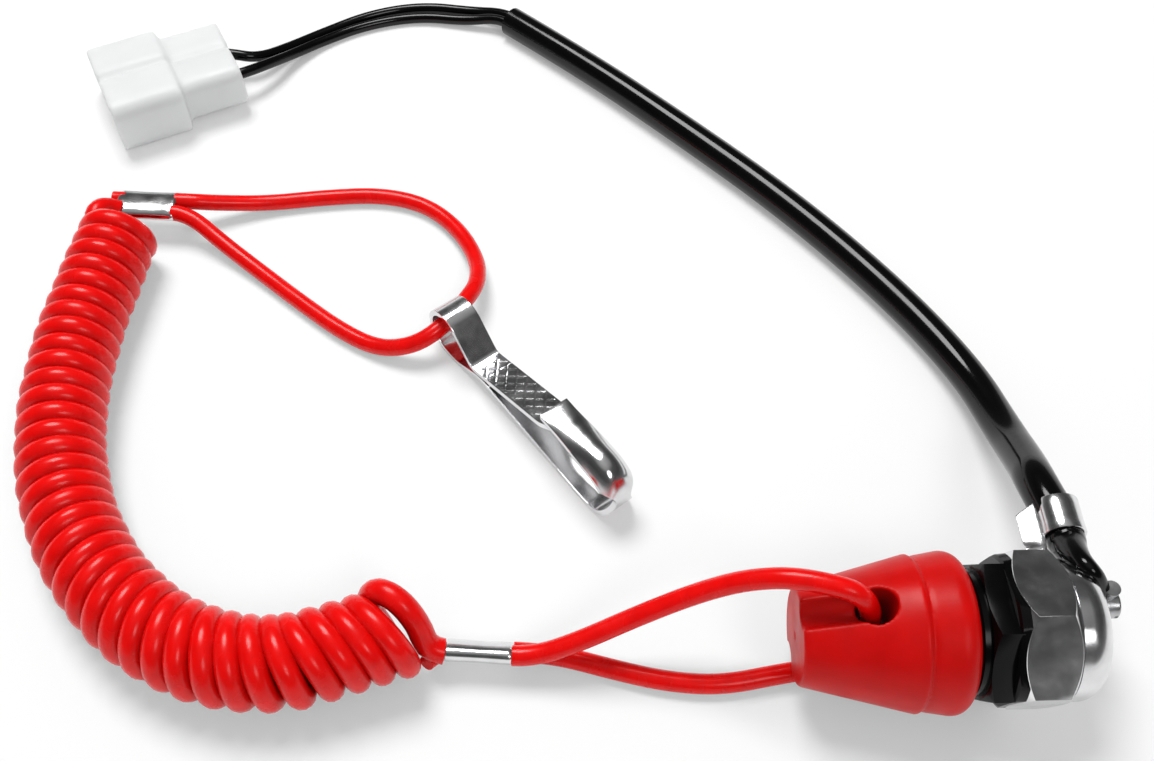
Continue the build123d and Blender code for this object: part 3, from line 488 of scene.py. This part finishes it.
def sharp_edges(bm, angle=SHARP):
    return [e for e in bm.edges if e.is_manifold and e.calc_face_angle(0) > angle]


def round_edges(bm, edges, width, segments=2):
    bmesh.ops.bevel(bm, geom=edges, offset=width, offset_type="OFFSET", segments=segments, profile=0.5,
                    affect="EDGES", material=-1, clamp_overlap=True)


def cad_copy(node, merge=2e-6, flat=0.4):
    """A welded copy of a CAD node's mesh, with its flat faces joined up."""
    bm = bmesh.new()
    bm.from_mesh(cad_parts[node].data)
    bmesh.ops.remove_doubles(bm, verts=bm.verts, dist=merge)
    bmesh.ops.dissolve_limit(bm, angle_limit=math.radians(flat), verts=bm.verts, edges=bm.edges)
    return bm


def softened(node, voxel, passes):
    """A mesh of a CAD node with its edges moulded soft."""
    mesh = mesh_of("blank", cad_copy(node))
    blank = bpy.data.objects.new("blank", mesh)
    bpy.context.scene.collection.objects.link(blank)
    remesh = blank.modifiers.new("Remesh", "REMESH")
    remesh.mode = "VOXEL"
    remesh.voxel_size = voxel
    soften = blank.modifiers.new("Soften", "SMOOTH")
    soften.factor = 0.5
    soften.iterations = passes
    soft = bpy.data.meshes.new_from_object(blank.evaluated_get(bpy.context.evaluated_depsgraph_get()))
    bpy.data.objects.remove(blank)
    bpy.data.meshes.remove(mesh)
    soft.shade_smooth()
    return soft


def filleted(points, rounds, step):
    """A line along flat points with its corners rounded, and no piece of it longer than step."""
    corners = [Vector(points[0])]
    for a, b, c, radius in zip(points, points[1:], points[2:], rounds):
        a, b, c = Vector(a), Vector(b), Vector(c)
        before, after = (b - a).normalized(), (c - b).normalized()
        turn = math.atan2(before.x * after.y - before.y * after.x, before.dot(after))
        start = b - before * radius * math.tan(abs(turn) / 2)
        inward = Vector((-before.y, before.x)) * math.copysign(radius, turn)
        arcs = max(3, math.ceil(abs(turn) / 0.15))
        for i in range(arcs + 1):
            angle = turn * i / arcs
            cos, sin = math.cos(angle), math.sin(angle)
            spoke = Vector((inward.x * cos - inward.y * sin, inward.x * sin + inward.y * cos))
            corners.append(start + inward - spoke)
    corners.append(Vector(points[-1]))
    line = [corners[0]]
    for a, b in zip(corners, corners[1:]):
        count = max(1, math.ceil((b - a).length / step))
        line += [a.lerp(b, i / count) for i in range(1, count + 1)]
    return [p for i, p in enumerate(line) if i == 0 or (p - line[i - 1]).length > 1e-7]


def strip(line, sheet, half_width, across, shape):
    """Sheet bent along a flat line. shape moves a point (length, side, height) of it, told if it is outside."""
    bm = bmesh.new()
    rings = []
    for i, here in enumerate(line):
        ahead = (line[min(i + 1, len(line) - 1)] - line[max(i - 1, 0)]).normalized()
        out = Vector((ahead.y, -ahead.x)) * sheet / 2
        wide = half_width(here.x)
        sides = [wide * (2 * j / across - 1) for j in range(across + 1)]
        ring = [shape(here.x + out.x, s, here.y + out.y, True, out) for s in sides]
        ring += [shape(here.x - out.x, s, here.y - out.y, False, out) for s in reversed(sides)]
        rings.append([bm.verts.new(p) for p in ring])
    count = len(rings[0])
    for a, b in zip(rings, rings[1:]):
        for j in range(count):
            bm.faces.new((a[j], a[(j + 1) % count], b[(j + 1) % count], b[j]))
    for end in (rings[0], rings[-1]):
        for j in range(across):
            bm.faces.new((end[j], end[j + 1], end[count - 2 - j], end[count - 1 - j]))
    bmesh.ops.recalc_face_normals(bm, faces=bm.faces)
    return bm


def ease(value, low, high):
    t = min(max((value - low) / (high - low), 0.0), 1.0)
    return t * t * (3 - 2 * t)


def tube(name, points):
    """A closed mesh along ((x, y, z), radius in mm) points."""
    curve = nurbs(name, [p for p, radius in points], 0.002, 8, 5)
    for knot, (place, radius) in zip(curve.splines[0].points, points):
        knot.radius = radius
    holder = bpy.data.objects.new(name, curve)
    mesh = bpy.data.meshes.new_from_object(holder)
    bpy.data.objects.remove(holder)
    bpy.data.curves.remove(curve)
    bm = bmesh.new()
    bm.from_mesh(mesh)
    bpy.data.meshes.remove(mesh)
    bmesh.ops.remove_doubles(bm, verts=bm.verts, dist=1e-7)
    bmesh.ops.recalc_face_normals(bm, faces=bm.faces)
    return bm


def paint(node, material):
    """Gives a CAD node its material."""
    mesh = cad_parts[node].data
    mesh.materials.clear()
    mesh.materials.append(material)


# Cords

def nurbs(name, points, diameter=0.0, steps=10, sides=6):
    """A curve of one open NURBS spline with those control points."""
    curve = bpy.data.curves.new(name, "CURVE")
    curve.dimensions = "3D"
    spline = curve.splines.new("NURBS")
    spline.points.add(len(points) - 1)
    for knot, point in zip(spline.points, points):
        knot.co = (*point, 1)
    spline.order_u = 3
    spline.use_endpoint_u = True
    curve.resolution_u = steps
    curve.bevel_depth = diameter / 2
    curve.bevel_resolution = sides
    curve.use_fill_caps = diameter > 0
    return curve


def line_of(points, steps=16):
    """Points along the smooth line of a route's NURBS spline."""
    holder = bpy.data.objects.new("line", nurbs("line", points, steps=steps))
    mesh = bpy.data.meshes.new_from_object(holder)
    line = [v.co.copy() for v in mesh.vertices]
    bpy.data.objects.remove(holder)
    bpy.data.meshes.remove(mesh)
    return line


def lengths_along(line):
    """Distance from the first point to each point."""
    total = [0.0]
    for a, b in zip(line, line[1:]):
        total.append(total[-1] + (b - a).length)
    return total


def place_at(line, total, distance):
    """The point and direction at that distance along the line."""
    i = 0
    while i < len(total) - 2 and total[i + 1] < distance:
        i += 1
    step = line[i + 1] - line[i]
    return line[i] + step * ((distance - total[i]) / (total[i + 1] - total[i])), step.normalized()


def add_cord(name, points, diameter, material, body, slot, nodes, steps=10, sides=6, **facts):
    """A cord as a curve in its material and body; its length is read from its own line and then dropped."""
    piece = register_piece(name, nurbs(name, points, diameter, steps, sides), material, body, nodes)
    length = lengths_along(line_of(points, steps))[-1]
    return piece


def coil_lean(share):
    """How far the turns lean, from the hook's end to the cap's."""
    return math.tan(math.radians(-9 + 21 * ease(share, 0.35, 0.75) + 10 * ease(share, 0.84, 1.0)))


def coil_points(radius, turns):
    """The coiled cord's middle line: the hook's lead, the turns round the route, and the cap's lead."""
    line = line_of(COIL)
    total = lengths_along(line)
    start, end = -0.0006, total[-1] + 0.0014
    first, last = -155.0, -50.0 + 360.0 * turns
    per_turn = 14
    count = round((last - first) / 360 * per_turn)
    points = list(HOOK_LEAD)
    for i in range(count + 1):
        share = i / count
        angle = first + (last - first) * share
        wander = math.sin(angle * 0.0071) * 0.6 + math.sin(angle * 0.0173 + 1.3) * 0.4
        here, along = place_at(line, total, start + (end - start) * share + wander * 0.00012)
        side = Vector((0, 0, 1)).cross(along)
        reach = radius - 0.00005 - 0.00005 * math.sin(angle * 0.0043 + 0.4)
        turn = math.radians(angle)
        here = here + (side - along * coil_lean(share)) * reach * math.cos(turn)
        points.append(here + Vector((0, 0, reach * math.sin(turn))))
    return points + list(CAP_LEAD)


# Operators: each makes one piece or one group of like pieces.

class KILLSWITCH_OT_cap(bpy.types.Operator):
    """Make the red pull cap"""

    bl_idname = "killswitch.cap"
    bl_label = "Pull cap"

    def execute(self, context):
        colours = context.scene.kill_switch_colours
        register_piece("pull_cap", softened("cap", 0.00026, 6), cap_red(colours), "lanyard", ["cap"])
        return {"FINISHED"}


class KILLSWITCH_OT_body(bpy.types.Operator):
    """Make the chromed hexagonal body and the rear dome"""

    bl_idname = "killswitch.body"
    bl_label = "Chromed body and dome"

    def execute(self, context):
        sizes, colours = settings(context)
        plating = chrome(colours)
        corner = HEX_FLATS / math.sqrt(3)
        drop, slope = HEX_CHAMFER, HEX_CHAMFER * math.tan(math.radians(HEX_CHAMFER_ANGLE))
        bore = THREAD_RADIUS + 0.00005
        bm = spun([(0, bore), (0, corner - drop), (slope, corner), (HEX_END - slope, corner),
                   (HEX_END, corner - drop), (HEX_END, bore)], steps=120)
        cut_flats(bm, HEX_FLATS, HEX_TURN)
        round_edges(bm, sharp_edges(bm, math.radians(18)), sizes.edge_round, 2)
        add_piece("hexagonal_body", bm, plating, "switch", ["hex_body"])
        self.dome(plating)
        return {"FINISHED"}

    def dome(self, plating):
        """A drawn cup: a skirt, a shoulder arc and a crowned end."""
        rim, crown = HEX_END, HEX_END + DOME_SKIRT + DOME_DEPTH
        outside = dome_line(DOME_RADIUS, DOME_SHOULDER, crown)
        inside = dome_line(DOME_RADIUS - DOME_WALL, DOME_SHOULDER - DOME_WALL, crown - DOME_WALL)
        profile = [(rim, DOME_RADIUS)] + outside + inside[::-1] + [(rim, DOME_RADIUS - DOME_WALL)]
        bm = spun(profile, steps=144)
        add_piece("rear_cup", bm, plating, "switch", ["rear_dome"], angle=math.radians(40))


def dome_line(radius, shoulder, crown):
    """(x, radius) points of the cup from its skirt's end to the axis."""
    flat = radius - shoulder
    rise = 0.0009
    sag_radius = (flat * flat + rise * rise) / (2 * rise)
    points = []
    start = crown - rise - shoulder
    for i in range(13):
        angle = math.radians(90 - 90 * i / 12 * 0.92)
        points.append((start + shoulder * math.cos(angle), flat + shoulder * math.sin(angle)))
    for i in range(1, 13):
        r = points[12][1] * (1 - i / 12)
        points.append((crown - (sag_radius - math.sqrt(sag_radius ** 2 - r * r)), max(r, 0.0)))
    return points


class KILLSWITCH_OT_nut(bpy.types.Operator):
    """Make the black front nut, its boss, and the black ring behind it: partly a washer, partly painted shade where
    the nut meets the body's chamfer
    """

    bl_idname = "killswitch.nut"
    bl_label = "Front nut"

    def execute(self, context):
        sizes, colours = settings(context)
        corner = NUT_FLATS / math.sqrt(3)
        drop, slope = 0.0015, 0.0015 * math.tan(math.radians(30))
        bore = THREAD_RADIUS + 0.00005
        bm = spun([(NUT_FACE, bore), (NUT_FACE, corner - drop), (NUT_FACE + slope, corner), (0, corner),
                   (0, bore)], steps=120)
        cut_flats(bm, NUT_FLATS, NUT_TURN)
        round_edges(bm, sharp_edges(bm, math.radians(18)), sizes.edge_round, 2)
        add_piece("front_nut_body", bm, moulded_black(colours), "switch", ["front_nut"])
        boss = spun([(NUT_BOSS_END, bore), (NUT_BOSS_END, 0.0093), (NUT_BOSS_END + 0.0004, 0.0097),
                     (NUT_FACE + 0.0001, 0.0097), (NUT_FACE + 0.0001, bore)], steps=96)
        add_piece("front_nut_boss", boss, moulded_black(colours), "switch")
        face = HEX_FLATS / math.sqrt(3) - HEX_CHAMFER
        lean = math.tan(math.radians(HEX_CHAMFER_ANGLE))
        # The black ring behind the nut fills the groove against the body's chamfer: partly a real washer, partly
        # painted shade between the two parts.
        seal_and_painted_shade = spun([(-0.0006, bore), (-0.0006, 0.0114), (-0.0003, 0.0119), ((0.0121 - face) * lean, 0.0121),
                     (-0.00002, face), (-0.00002, bore)], steps=96)
        cut_flats(seal_and_painted_shade, HEX_FLATS - 0.0002, HEX_TURN)
        add_piece("nut_seal_and_painted_shade", seal_and_painted_shade, moulded_black(colours), "switch")
        return {"FINISHED"}


class KILLSWITCH_OT_barrel(bpy.types.Operator):
    """Make the threaded barrel"""

    bl_idname = "killswitch.barrel"
    bl_label = "Threaded barrel"

    def execute(self, context):
        sizes, colours = settings(context)
        black = moulded_black(colours)
        root = THREAD_RADIUS - 0.00055
        bm = spun([
            (BARREL_FRONT, PLUNGER_BORE), (BARREL_FRONT, THREAD_RADIUS - 0.0004),
            (BARREL_FRONT + 0.0004, THREAD_RADIUS), (GROOVE_FRONT - 0.0004, THREAD_RADIUS),
            (GROOVE_FRONT, GROOVE_RADIUS), (GROOVE_REAR, GROOVE_RADIUS), (GROOVE_REAR, root), (-0.0004, root),
            (-0.0004, THREAD_RADIUS), (HEX_END, THREAD_RADIUS), (HEX_END, FLANGE_RADIUS),
            (FLANGE_END, FLANGE_RADIUS), (FLANGE_END, CHAMBER_RADIUS), (CHAMBER_FRONT, CHAMBER_RADIUS),
            (CHAMBER_FRONT, PLUNGER_BORE)], steps=72)
        add_piece("threaded_barrel", bm, black, "switch", ["barrel"])
        self.thread(sizes.thread_pitch, root, black)
        return {"FINISHED"}

    def thread(self, pitch, root, black):
        """One ridge, spun along the axis as it turns, closed at both ends."""
        start, end = GROOVE_REAR + 0.0001, -0.0016
        turns = int((end - start) / pitch)
        bm = bmesh.new()
        section = [(start, root - 0.00008), (start + 0.42 * pitch, THREAD_RADIUS - 0.00002),
                   (start + 0.55 * pitch, THREAD_RADIUS - 0.00002), (start + 0.95 * pitch, root - 0.00008)]
        verts = [bm.verts.new((x, 0, r)) for x, r in section]
        face = bm.faces.new(verts)
        steps = 48 * turns
        bmesh.ops.spin(bm, geom=[face], cent=(0, 0, 0), axis=(1, 0, 0), dvec=(turns * pitch / steps, 0, 0),
                       angle=2 * math.pi * turns, steps=steps, use_merge=False)
        bmesh.ops.recalc_face_normals(bm, faces=bm.faces)
        add_piece("barrel_thread", bm, black, "switch")


class KILLSWITCH_OT_terminal(bpy.types.Operator):
    """Finish the rear terminal, its lead, the contacts and the plunger"""

    bl_idname = "killswitch.terminal"
    bl_label = "Terminal and contacts"

    def execute(self, context):
        colours = context.scene.kill_switch_colours
        for node in ("terminal_bush", "plunger"):
            paint(node, moulded_black(colours))
        for node in ("spring_washer", "terminal_screw", "plunger_spring"):
            paint(node, plated_steel(colours))
        for node in ("contact_bridge", "live_contact", "earth_contact"):
            paint(node, brass(colours))
        paint("contact_base", insulator(colours))
        face = min(v.co.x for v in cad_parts["ring_terminal"].data.vertices)
        ring = spun([(face, 0.00155), (face, 0.0026), (face + 0.0006, 0.0026), (face + 0.0006, 0.00155)], steps=48)
        bmesh.ops.translate(ring, verts=ring.verts, vec=(0, TERMINAL_Y, TERMINAL_Z))
        crimp = Matrix.Translation((face + 0.0006, TERMINAL_Y + 0.0004, TERMINAL_Z + 0.0036))
        bmesh.ops.create_cone(ring, cap_ends=True, segments=24, radius1=0.0010, radius2=0.0013, depth=0.0024,
                              matrix=crimp)
        add_piece("ring_tag", ring, plated_steel(colours), "switch", ["ring_terminal"])
        add_piece("rear_lead", tube("rear_lead", REAR_LEAD), sleeve_black(colours), "switch",
                  ["wire_boot", "stud_lead"])
        return {"FINISHED"}


class KILLSWITCH_OT_clip(bpy.types.Operator):
    """Make the folded clip that holds the cable"""

    bl_idname = "killswitch.clip"
    bl_label = "Cable clip"

    def execute(self, context):
        sizes, colours = settings(context)
        reach = HEX_FLATS / 2 + CLIP_SHEET / 2
        lean = math.radians(HEX_TURN)
        low = (reach * math.cos(lean) + 0.003 * math.sin(lean), reach * math.sin(lean) - 0.003 * math.cos(lean))
        fold = ((reach - CLIP_LEVEL * math.sin(lean)) / math.cos(lean), CLIP_LEVEL)
        line = filleted([low, fold, (CLIP_END, CLIP_LEVEL)], [0.0009], 0.0008)
        left, right = CLIP_SIDES

        def placed(length, side, height, outside, out):
            x = (left + right) / 2 + side
            far = ease(length, 0.0106, 0.0125)
            back = 0.0020 * ease(length, 0.016, CLIP_END) * (right - x) / (right - left)
            return (x, length - back, height - 0.30 * far * (right - x))

        bm = strip(line, CLIP_SHEET, lambda length: (right - left) / 2, 4, placed)
        radius = ROLL_RADIUS + CLIP_SHEET / 2
        arc = [(ROLL_X + radius * math.cos(math.radians(a)), ROLL_Z + radius * math.sin(math.radians(a)))
               for a in range(200, -151, -6)]
        roll = strip([Vector(p) for p in arc[::-1]], CLIP_SHEET, lambda length: 0.0030, 4,
                     lambda length, side, height, outside, out: (length, ROLL_Y + side, height))
        for part in (bm, roll):
            round_edges(part, sharp_edges(part), 0.00012, 2)
        add_piece("folded_clip", bm, chrome(colours), "switch", ["cable_clip"])
        add_piece("clip_roll", roll, chrome(colours), "switch")
        return {"FINISHED"}


class KILLSWITCH_OT_loops(bpy.types.Operator):
    """Make the cord's two loops"""

    bl_idname = "killswitch.loops"
    bl_label = "Cord loops"

    def execute(self, context):
        sizes, colours = settings(context)
        red = cord_red(colours)
        add_cord("cord_loop_cap", CAP_LOOP, sizes.cord_diameter, red, "lanyard", "cord_red", ["cap_loop"],
                 far_end="object", stiffness="medium", lay="loose")
        add_cord("cord_loop_hook", HOOK_LOOP, sizes.cord_diameter, red, "lanyard", "cord_red", ["hook_loop"],
                 far_end="object", stiffness="medium", lay="loose")
        return {"FINISHED"}


class KILLSWITCH_OT_coil(bpy.types.Operator):
    """Make the coiled cord with the two leads into its ferrules"""

    bl_idname = "killswitch.coil"
    bl_label = "Coiled cord"

    def execute(self, context):
        sizes, colours = settings(context)
        points = coil_points(sizes.coil_radius, sizes.coil_turns)
        add_cord("coiled_cord", points, sizes.coil_cord, cord_red(colours), "lanyard", "cord_red",
                 ["coil", "coil_lead_cap_end", "coil_lead_hook_end"], steps=3, sides=5,
                 far_end="object", stiffness="medium", lay="coiled")
        return {"FINISHED"}


class KILLSWITCH_OT_ferrules(bpy.types.Operator):
    """Make the two crimped sleeves"""

    bl_idname = "killswitch.ferrules"
    bl_label = "Ferrules"

    def execute(self, context):
        colours = context.scene.kill_switch_colours
        add_piece("cap_ferrule", self.sleeve(*CAP_FERRULE), chrome(colours), "lanyard", ["ferrule_cap_end"])
        add_piece("hook_ferrule", self.sleeve(*HOOK_FERRULE), chrome(colours), "lanyard",
                  ["ferrule_hook_end"])
        for name, tail in (("cord_tail_cap", CAP_TAIL), ("cord_tail_hook", HOOK_TAIL)):
            add_piece(name, tube(name, tail), cord_red(colours), "lanyard")
        return {"FINISHED"}

    def sleeve(self, centre, tilt, size):
        """A crimped oval sleeve with rolled ends, a little pressed in along its middle."""
        half, wide, thick = (length / 2 for length in size)
        rows = [(half, 0.00042), (half - 0.00010, 0.00020), (half - 0.00035, 0.00004), (half - 0.0008, 0),
                (half - 0.0022, 0.00003), (0.0012, 0.00008)]
        rows = [(-x, inset) for x, inset in rows] + rows[::-1]
        bm = bmesh.new()
        rings = []
        for x, inset in rows:
            ring = []
            for i in range(56):
                cos, sin = math.cos(2 * math.pi * i / 56), math.sin(2 * math.pi * i / 56)
                y = math.copysign(abs(cos) ** 0.85, cos) * (wide - inset)
                z = math.copysign(abs(sin) ** 0.92, sin) * (thick - inset)
                ring.append(bm.verts.new((x, y, z)))
            rings.append(ring)
        for a, b in zip(rings, rings[1:]):
            for j in range(56):
                bm.faces.new((a[j], a[(j + 1) % 56], b[(j + 1) % 56], b[j]))
        for end in (rings[0], rings[-1]):
            bm.faces.new(end)
        place = Matrix.Translation(centre) @ Matrix.Rotation(FERRULE_TURN, 4, "Z")
        bmesh.ops.transform(bm, matrix=place @ Matrix.Rotation(math.radians(tilt), 4, "X"), verts=bm.verts)
        bmesh.ops.recalc_face_normals(bm, faces=bm.faces)
        return bm


class KILLSWITCH_OT_hook(bpy.types.Operator):
    """Make the folded snap hook and its gate"""

    bl_idname = "killswitch.hook"
    bl_label = "Snap hook"

    def execute(self, context):
        sizes, colours = settings(context)
        place = Matrix.Translation(HOOK_END) @ Matrix.Rotation(HOOK_AZIMUTH, 4, "Z")
        whole = filleted(HOOK_LINE, HOOK_ROUNDS, 0.0008)
        line = filleted(whole[:5], [0.0] * 3, 0.0002) + whole[5:]
        bm = strip(line, HOOK_SHEET, self.half_width, 32, self.nose)
        gate = strip(filleted(GATE_LINE, [], 0.0002), HOOK_SHEET, self.gate_width, 32, self.knurl)
        for name, part, node, body in (("snap_hook", bm, "hook_frame", "hook"),
                                       ("snap_gate", gate, "hook_gate", "gate")):
            bmesh.ops.transform(part, matrix=place, verts=part.verts)
            bmesh.ops.recalc_face_normals(part, faces=part.faces)
            if name == "snap_hook":
                round_edges(part, sharp_edges(part, math.radians(50)), sizes.edge_round, 2)
            add_piece(name, part, chrome(colours), body, [node])
        return {"FINISHED"}

    def half_width(self, length):
        """Half the strip's width: full, and rounded off in plan at the nose."""
        corner = HOOK_WIDTH * 0.42
        past = length - (HOOK_LENGTH - HOOK_SHEET / 2 - corner)
        full = HOOK_WIDTH / 2 + 0.00035 * ease(length, 0.0360, 0.0480)
        if past <= 0:
            return full
        return full - corner + math.sqrt(max(corner * corner - past * past * 0.9, 0))

    def gate_width(self, length):
        """Half the gate's width: its end is narrower, under the nose's lip."""
        return HOOK_WIDTH / 2 - 0.0012 * ease(length, 0.0335, 0.0385)

    def nose(self, length, side, height, outside, out):
        """The nose is pressed round across its width, and the neck carries the gate's knurl on."""
        share = abs(side) / (HOOK_WIDTH / 2)
        if 0.0148 < length < 0.0184 and 0.0048 < height < 0.0062:
            return self.knurl(length, side, height, outside, out)
        drop = 0.0005 * ease(length, 0.0325, 0.0380) + 0.0012 * ease(length, 0.0360, 0.0510)
        drop *= share ** 2.4 * ease(height, 0.006, 0.0112)
        return (length, side, height - drop)

    def knurl(self, length, side, height, outside, out):
        """Crossed grooves on the thumb face."""
        if not outside or not KNURL_SPAN[0] < length < KNURL_SPAN[1] or abs(side) > 0.0027:
            return (length, side, height)
        cut = 0.0
        for slant in (1, -1):
            phase = length / KNURL_PITCH[0] + slant * side / KNURL_PITCH[1]
            cut = max(cut, 1 - abs(phase - round(phase)) / 0.12)
        depth = KNURL_DEPTH * min(cut, 1)
        if depth <= 0:
            return (length, side, height)
        return (length - out.x * depth / (HOOK_SHEET / 2), side, height - out.y * depth / (HOOK_SHEET / 2))


class KILLSWITCH_OT_cable(bpy.types.Operator):
    """Make the cable's sleeve and its two wires"""

    bl_idname = "killswitch.cable"
    bl_label = "Cable and wires"

    def execute(self, context):
        sizes, colours = settings(context)
        black = sleeve_black(colours)
        add_cord("cable", SLEEVE[::-1], sizes.sleeve_diameter, black, "switch", "sleeve_black", ["cable_sleeve"],
                 sides=10, far_end="bare", stiffness="medium", lay="loose")
        housing = bpy.data.objects["connector"]
        blades = [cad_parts["blade_terminal_a"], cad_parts["blade_terminal_b"]]
        add_cord("cable_wire_a", WIRE_A[::-1], sizes.wire_diameter, black, "switch", "sleeve_black", ["wire_a"],
                 far_end="connector", stiffness="medium", lay="loose", with_pieces=[housing, blades[0]])
        add_cord("cable_wire_b", WIRE_B[::-1], sizes.wire_diameter, black, "switch", "sleeve_black", ["wire_b"],
                 far_end="connector", stiffness="medium", lay="loose", with_pieces=[blades[1]])
        return {"FINISHED"}


class KILLSWITCH_OT_connector(bpy.types.Operator):
    """Make the two-way connector housing and finish its blades"""

    bl_idname = "killswitch.connector"
    bl_label = "Connector"

    def execute(self, context):
        colours = context.scene.kill_switch_colours
        register_piece("connector", softened("connector_housing", 0.00030, 56), nylon(colours), "switch",
                       ["connector_housing"])
        for node in ("blade_terminal_a", "blade_terminal_b"):
            paint(node, brass(colours))
        return {"FINISHED"}


class KILLSWITCH_OT_stage(bpy.types.Operator):
    """Make the floor, the lights, the world and the camera"""

    bl_idname = "killswitch.stage"
    bl_label = "Stage"

    def execute(self, context):
        self.floor(context)
        self.world(context)
        self.lamp("key_light", (-0.20, 0.42, 0.95), 0.50, 7.8)
        self.lamp("fill_light", (0.35, -0.62, 0.80), 0.36, 1.7)
        camera = bpy.data.objects.new("camera", bpy.data.cameras.new("camera"))
        camera.data.lens = CAMERA_LENS
        camera.data.sensor_width = 36.0
        camera.data.clip_start = 0.01
        camera.location = CAMERA_PLACE
        look = Vector(CAMERA_TARGET) - Vector(CAMERA_PLACE)
        camera.rotation_euler = look.to_track_quat("-Z", "Y").to_euler()
        context.scene.collection.objects.link(camera)
        context.scene.camera = camera
        context.scene.view_settings.view_transform = "Standard"
        return {"FINISHED"}

    def floor(self, context):
        bm = bmesh.new()
        bmesh.ops.create_grid(bm, x_segments=1, y_segments=1, size=6.0)
        bmesh.ops.translate(bm, verts=bm.verts, vec=(CAMERA_TARGET[0], CAMERA_TARGET[1], FLOOR))
        mesh = mesh_of("floor", bm)
        mesh.materials.append(seen_white("Floor", 0.97, 0.26))
        floor = bpy.data.objects.new("floor", mesh)
        context.scene.collection.objects.link(floor)

    def world(self, context):
        """White behind the object. Gloss sees a white horizon under a dim studio with a pale ceiling."""
        world = bpy.data.worlds.new("Studio")
        context.scene.world = world
        world.use_nodes = True
        tree = world.node_tree
        back = tree.nodes["Background"]
        ray = tree.nodes.new("ShaderNodeLightPath")
        where = tree.nodes.new("ShaderNodeTexCoord").outputs["Generated"]
        split = tree.nodes.new("ShaderNodeSeparateXYZ")
        tree.links.new(where, split.inputs[0])
        room = tree.nodes.new("ShaderNodeValToRGB")
        steps = [(0.0, 1.0), (0.06, 0.9), (0.16, 0.14), (0.50, 0.05), (0.80, 0.08), (0.93, 0.30), (1.0, 0.4)]
        while len(room.color_ramp.elements) < len(steps):
            room.color_ramp.elements.new(0.5)
        for element, (place, level) in zip(room.color_ramp.elements, steps):
            element.position = place
            element.color = (level, level, level, 1)
        tree.links.new(split.outputs["Z"], room.inputs["Fac"])
        gloss = maths(tree, "MAXIMUM", ray.outputs["Is Glossy Ray"], ray.outputs["Is Transmission Ray"])
        lit = colour_mix(tree, gloss, AMBIENT, room.outputs["Color"])
        shown = colour_mix(tree, ray.outputs["Is Camera Ray"], lit, 1.0)
        tree.links.new(shown, back.inputs["Color"])

    def lamp(self, name, place, size, power):
        lamp = bpy.data.lights.new(name, "AREA")
        lamp.shape = "DISK"
        lamp.size = size
        lamp.energy = power
        holder = bpy.data.objects.new(name, lamp)
        target = Vector(CAMERA_TARGET)
        holder.location = target + Vector(place)
        holder.rotation_euler = (-Vector(place)).to_track_quat("-Z", "Y").to_euler()
        bpy.context.scene.collection.objects.link(holder)


def seen_white(name, albedo, glow):
    """A pale matt surface that shows as white to the camera and in gloss, and still takes shadows."""
    material = bpy.data.materials.new(name)
    material.use_nodes = True
    tree = material.node_tree
    shader = tree.nodes["Principled BSDF"]
    shader.inputs["Base Color"].default_value = (albedo, albedo, albedo, 1)
    shader.inputs["Roughness"].default_value = 1.0
    shader.inputs["Specular IOR Level"].default_value = 0.0
    light = tree.nodes.new("ShaderNodeEmission")
    light.inputs["Strength"].default_value = 1.0
    ray = tree.nodes.new("ShaderNodeLightPath")
    seen = maths(tree, "MAXIMUM", ray.outputs["Is Camera Ray"], ray.outputs["Is Glossy Ray"])
    seen = maths(tree, "MAXIMUM", seen, ray.outputs["Is Transmission Ray"])
    mix = tree.nodes.new("ShaderNodeMixShader")
    tree.links.new(maths(tree, "MULTIPLY", seen, glow), mix.inputs[0])
    tree.links.new(shader.outputs[0], mix.inputs[1])
    tree.links.new(light.outputs[0], mix.inputs[2])
    tree.links.new(mix.outputs[0], tree.nodes["Material Output"].inputs["Surface"])
    return material


OPERATORS = [
    KILLSWITCH_OT_cap, KILLSWITCH_OT_body, KILLSWITCH_OT_nut, KILLSWITCH_OT_barrel, KILLSWITCH_OT_terminal,
    KILLSWITCH_OT_clip, KILLSWITCH_OT_loops, KILLSWITCH_OT_coil, KILLSWITCH_OT_ferrules, KILLSWITCH_OT_hook,
    KILLSWITCH_OT_connector, KILLSWITCH_OT_cable, KILLSWITCH_OT_stage,
]


class KILLSWITCH_PT_panel(bpy.types.Panel):
    """Lists the sizes, the colours and the pieces"""

    bl_label = "Kill switch"
    bl_idname = "KILLSWITCH_PT_panel"
    bl_space_type = "VIEW_3D"
    bl_region_type = "UI"
    bl_category = "Kill switch"

    def draw(self, context):
        for group in settings(context):
            box = self.layout.box()
            for key in group.__annotations__:
                box.prop(group, key)
        for operator in OPERATORS:
            self.layout.operator(operator.bl_idname)


CLASSES = [KillSwitchSizes, KillSwitchColours, *OPERATORS, KILLSWITCH_PT_panel]


def register():
    for cls in CLASSES:
        bpy.utils.register_class(cls)
    bpy.types.Scene.kill_switch_sizes = PointerProperty(type=KillSwitchSizes)
    bpy.types.Scene.kill_switch_colours = PointerProperty(type=KillSwitchColours)


def unregister():
    del bpy.types.Scene.kill_switch_colours
    del bpy.types.Scene.kill_switch_sizes
    for cls in reversed(CLASSES):
        bpy.utils.unregister_class(cls)


def main():
    register()
    for operator in OPERATORS:
        area, action = operator.bl_idname.split(".")
        getattr(getattr(bpy.ops, area), action)()


if __name__ == "__main__":
    main()
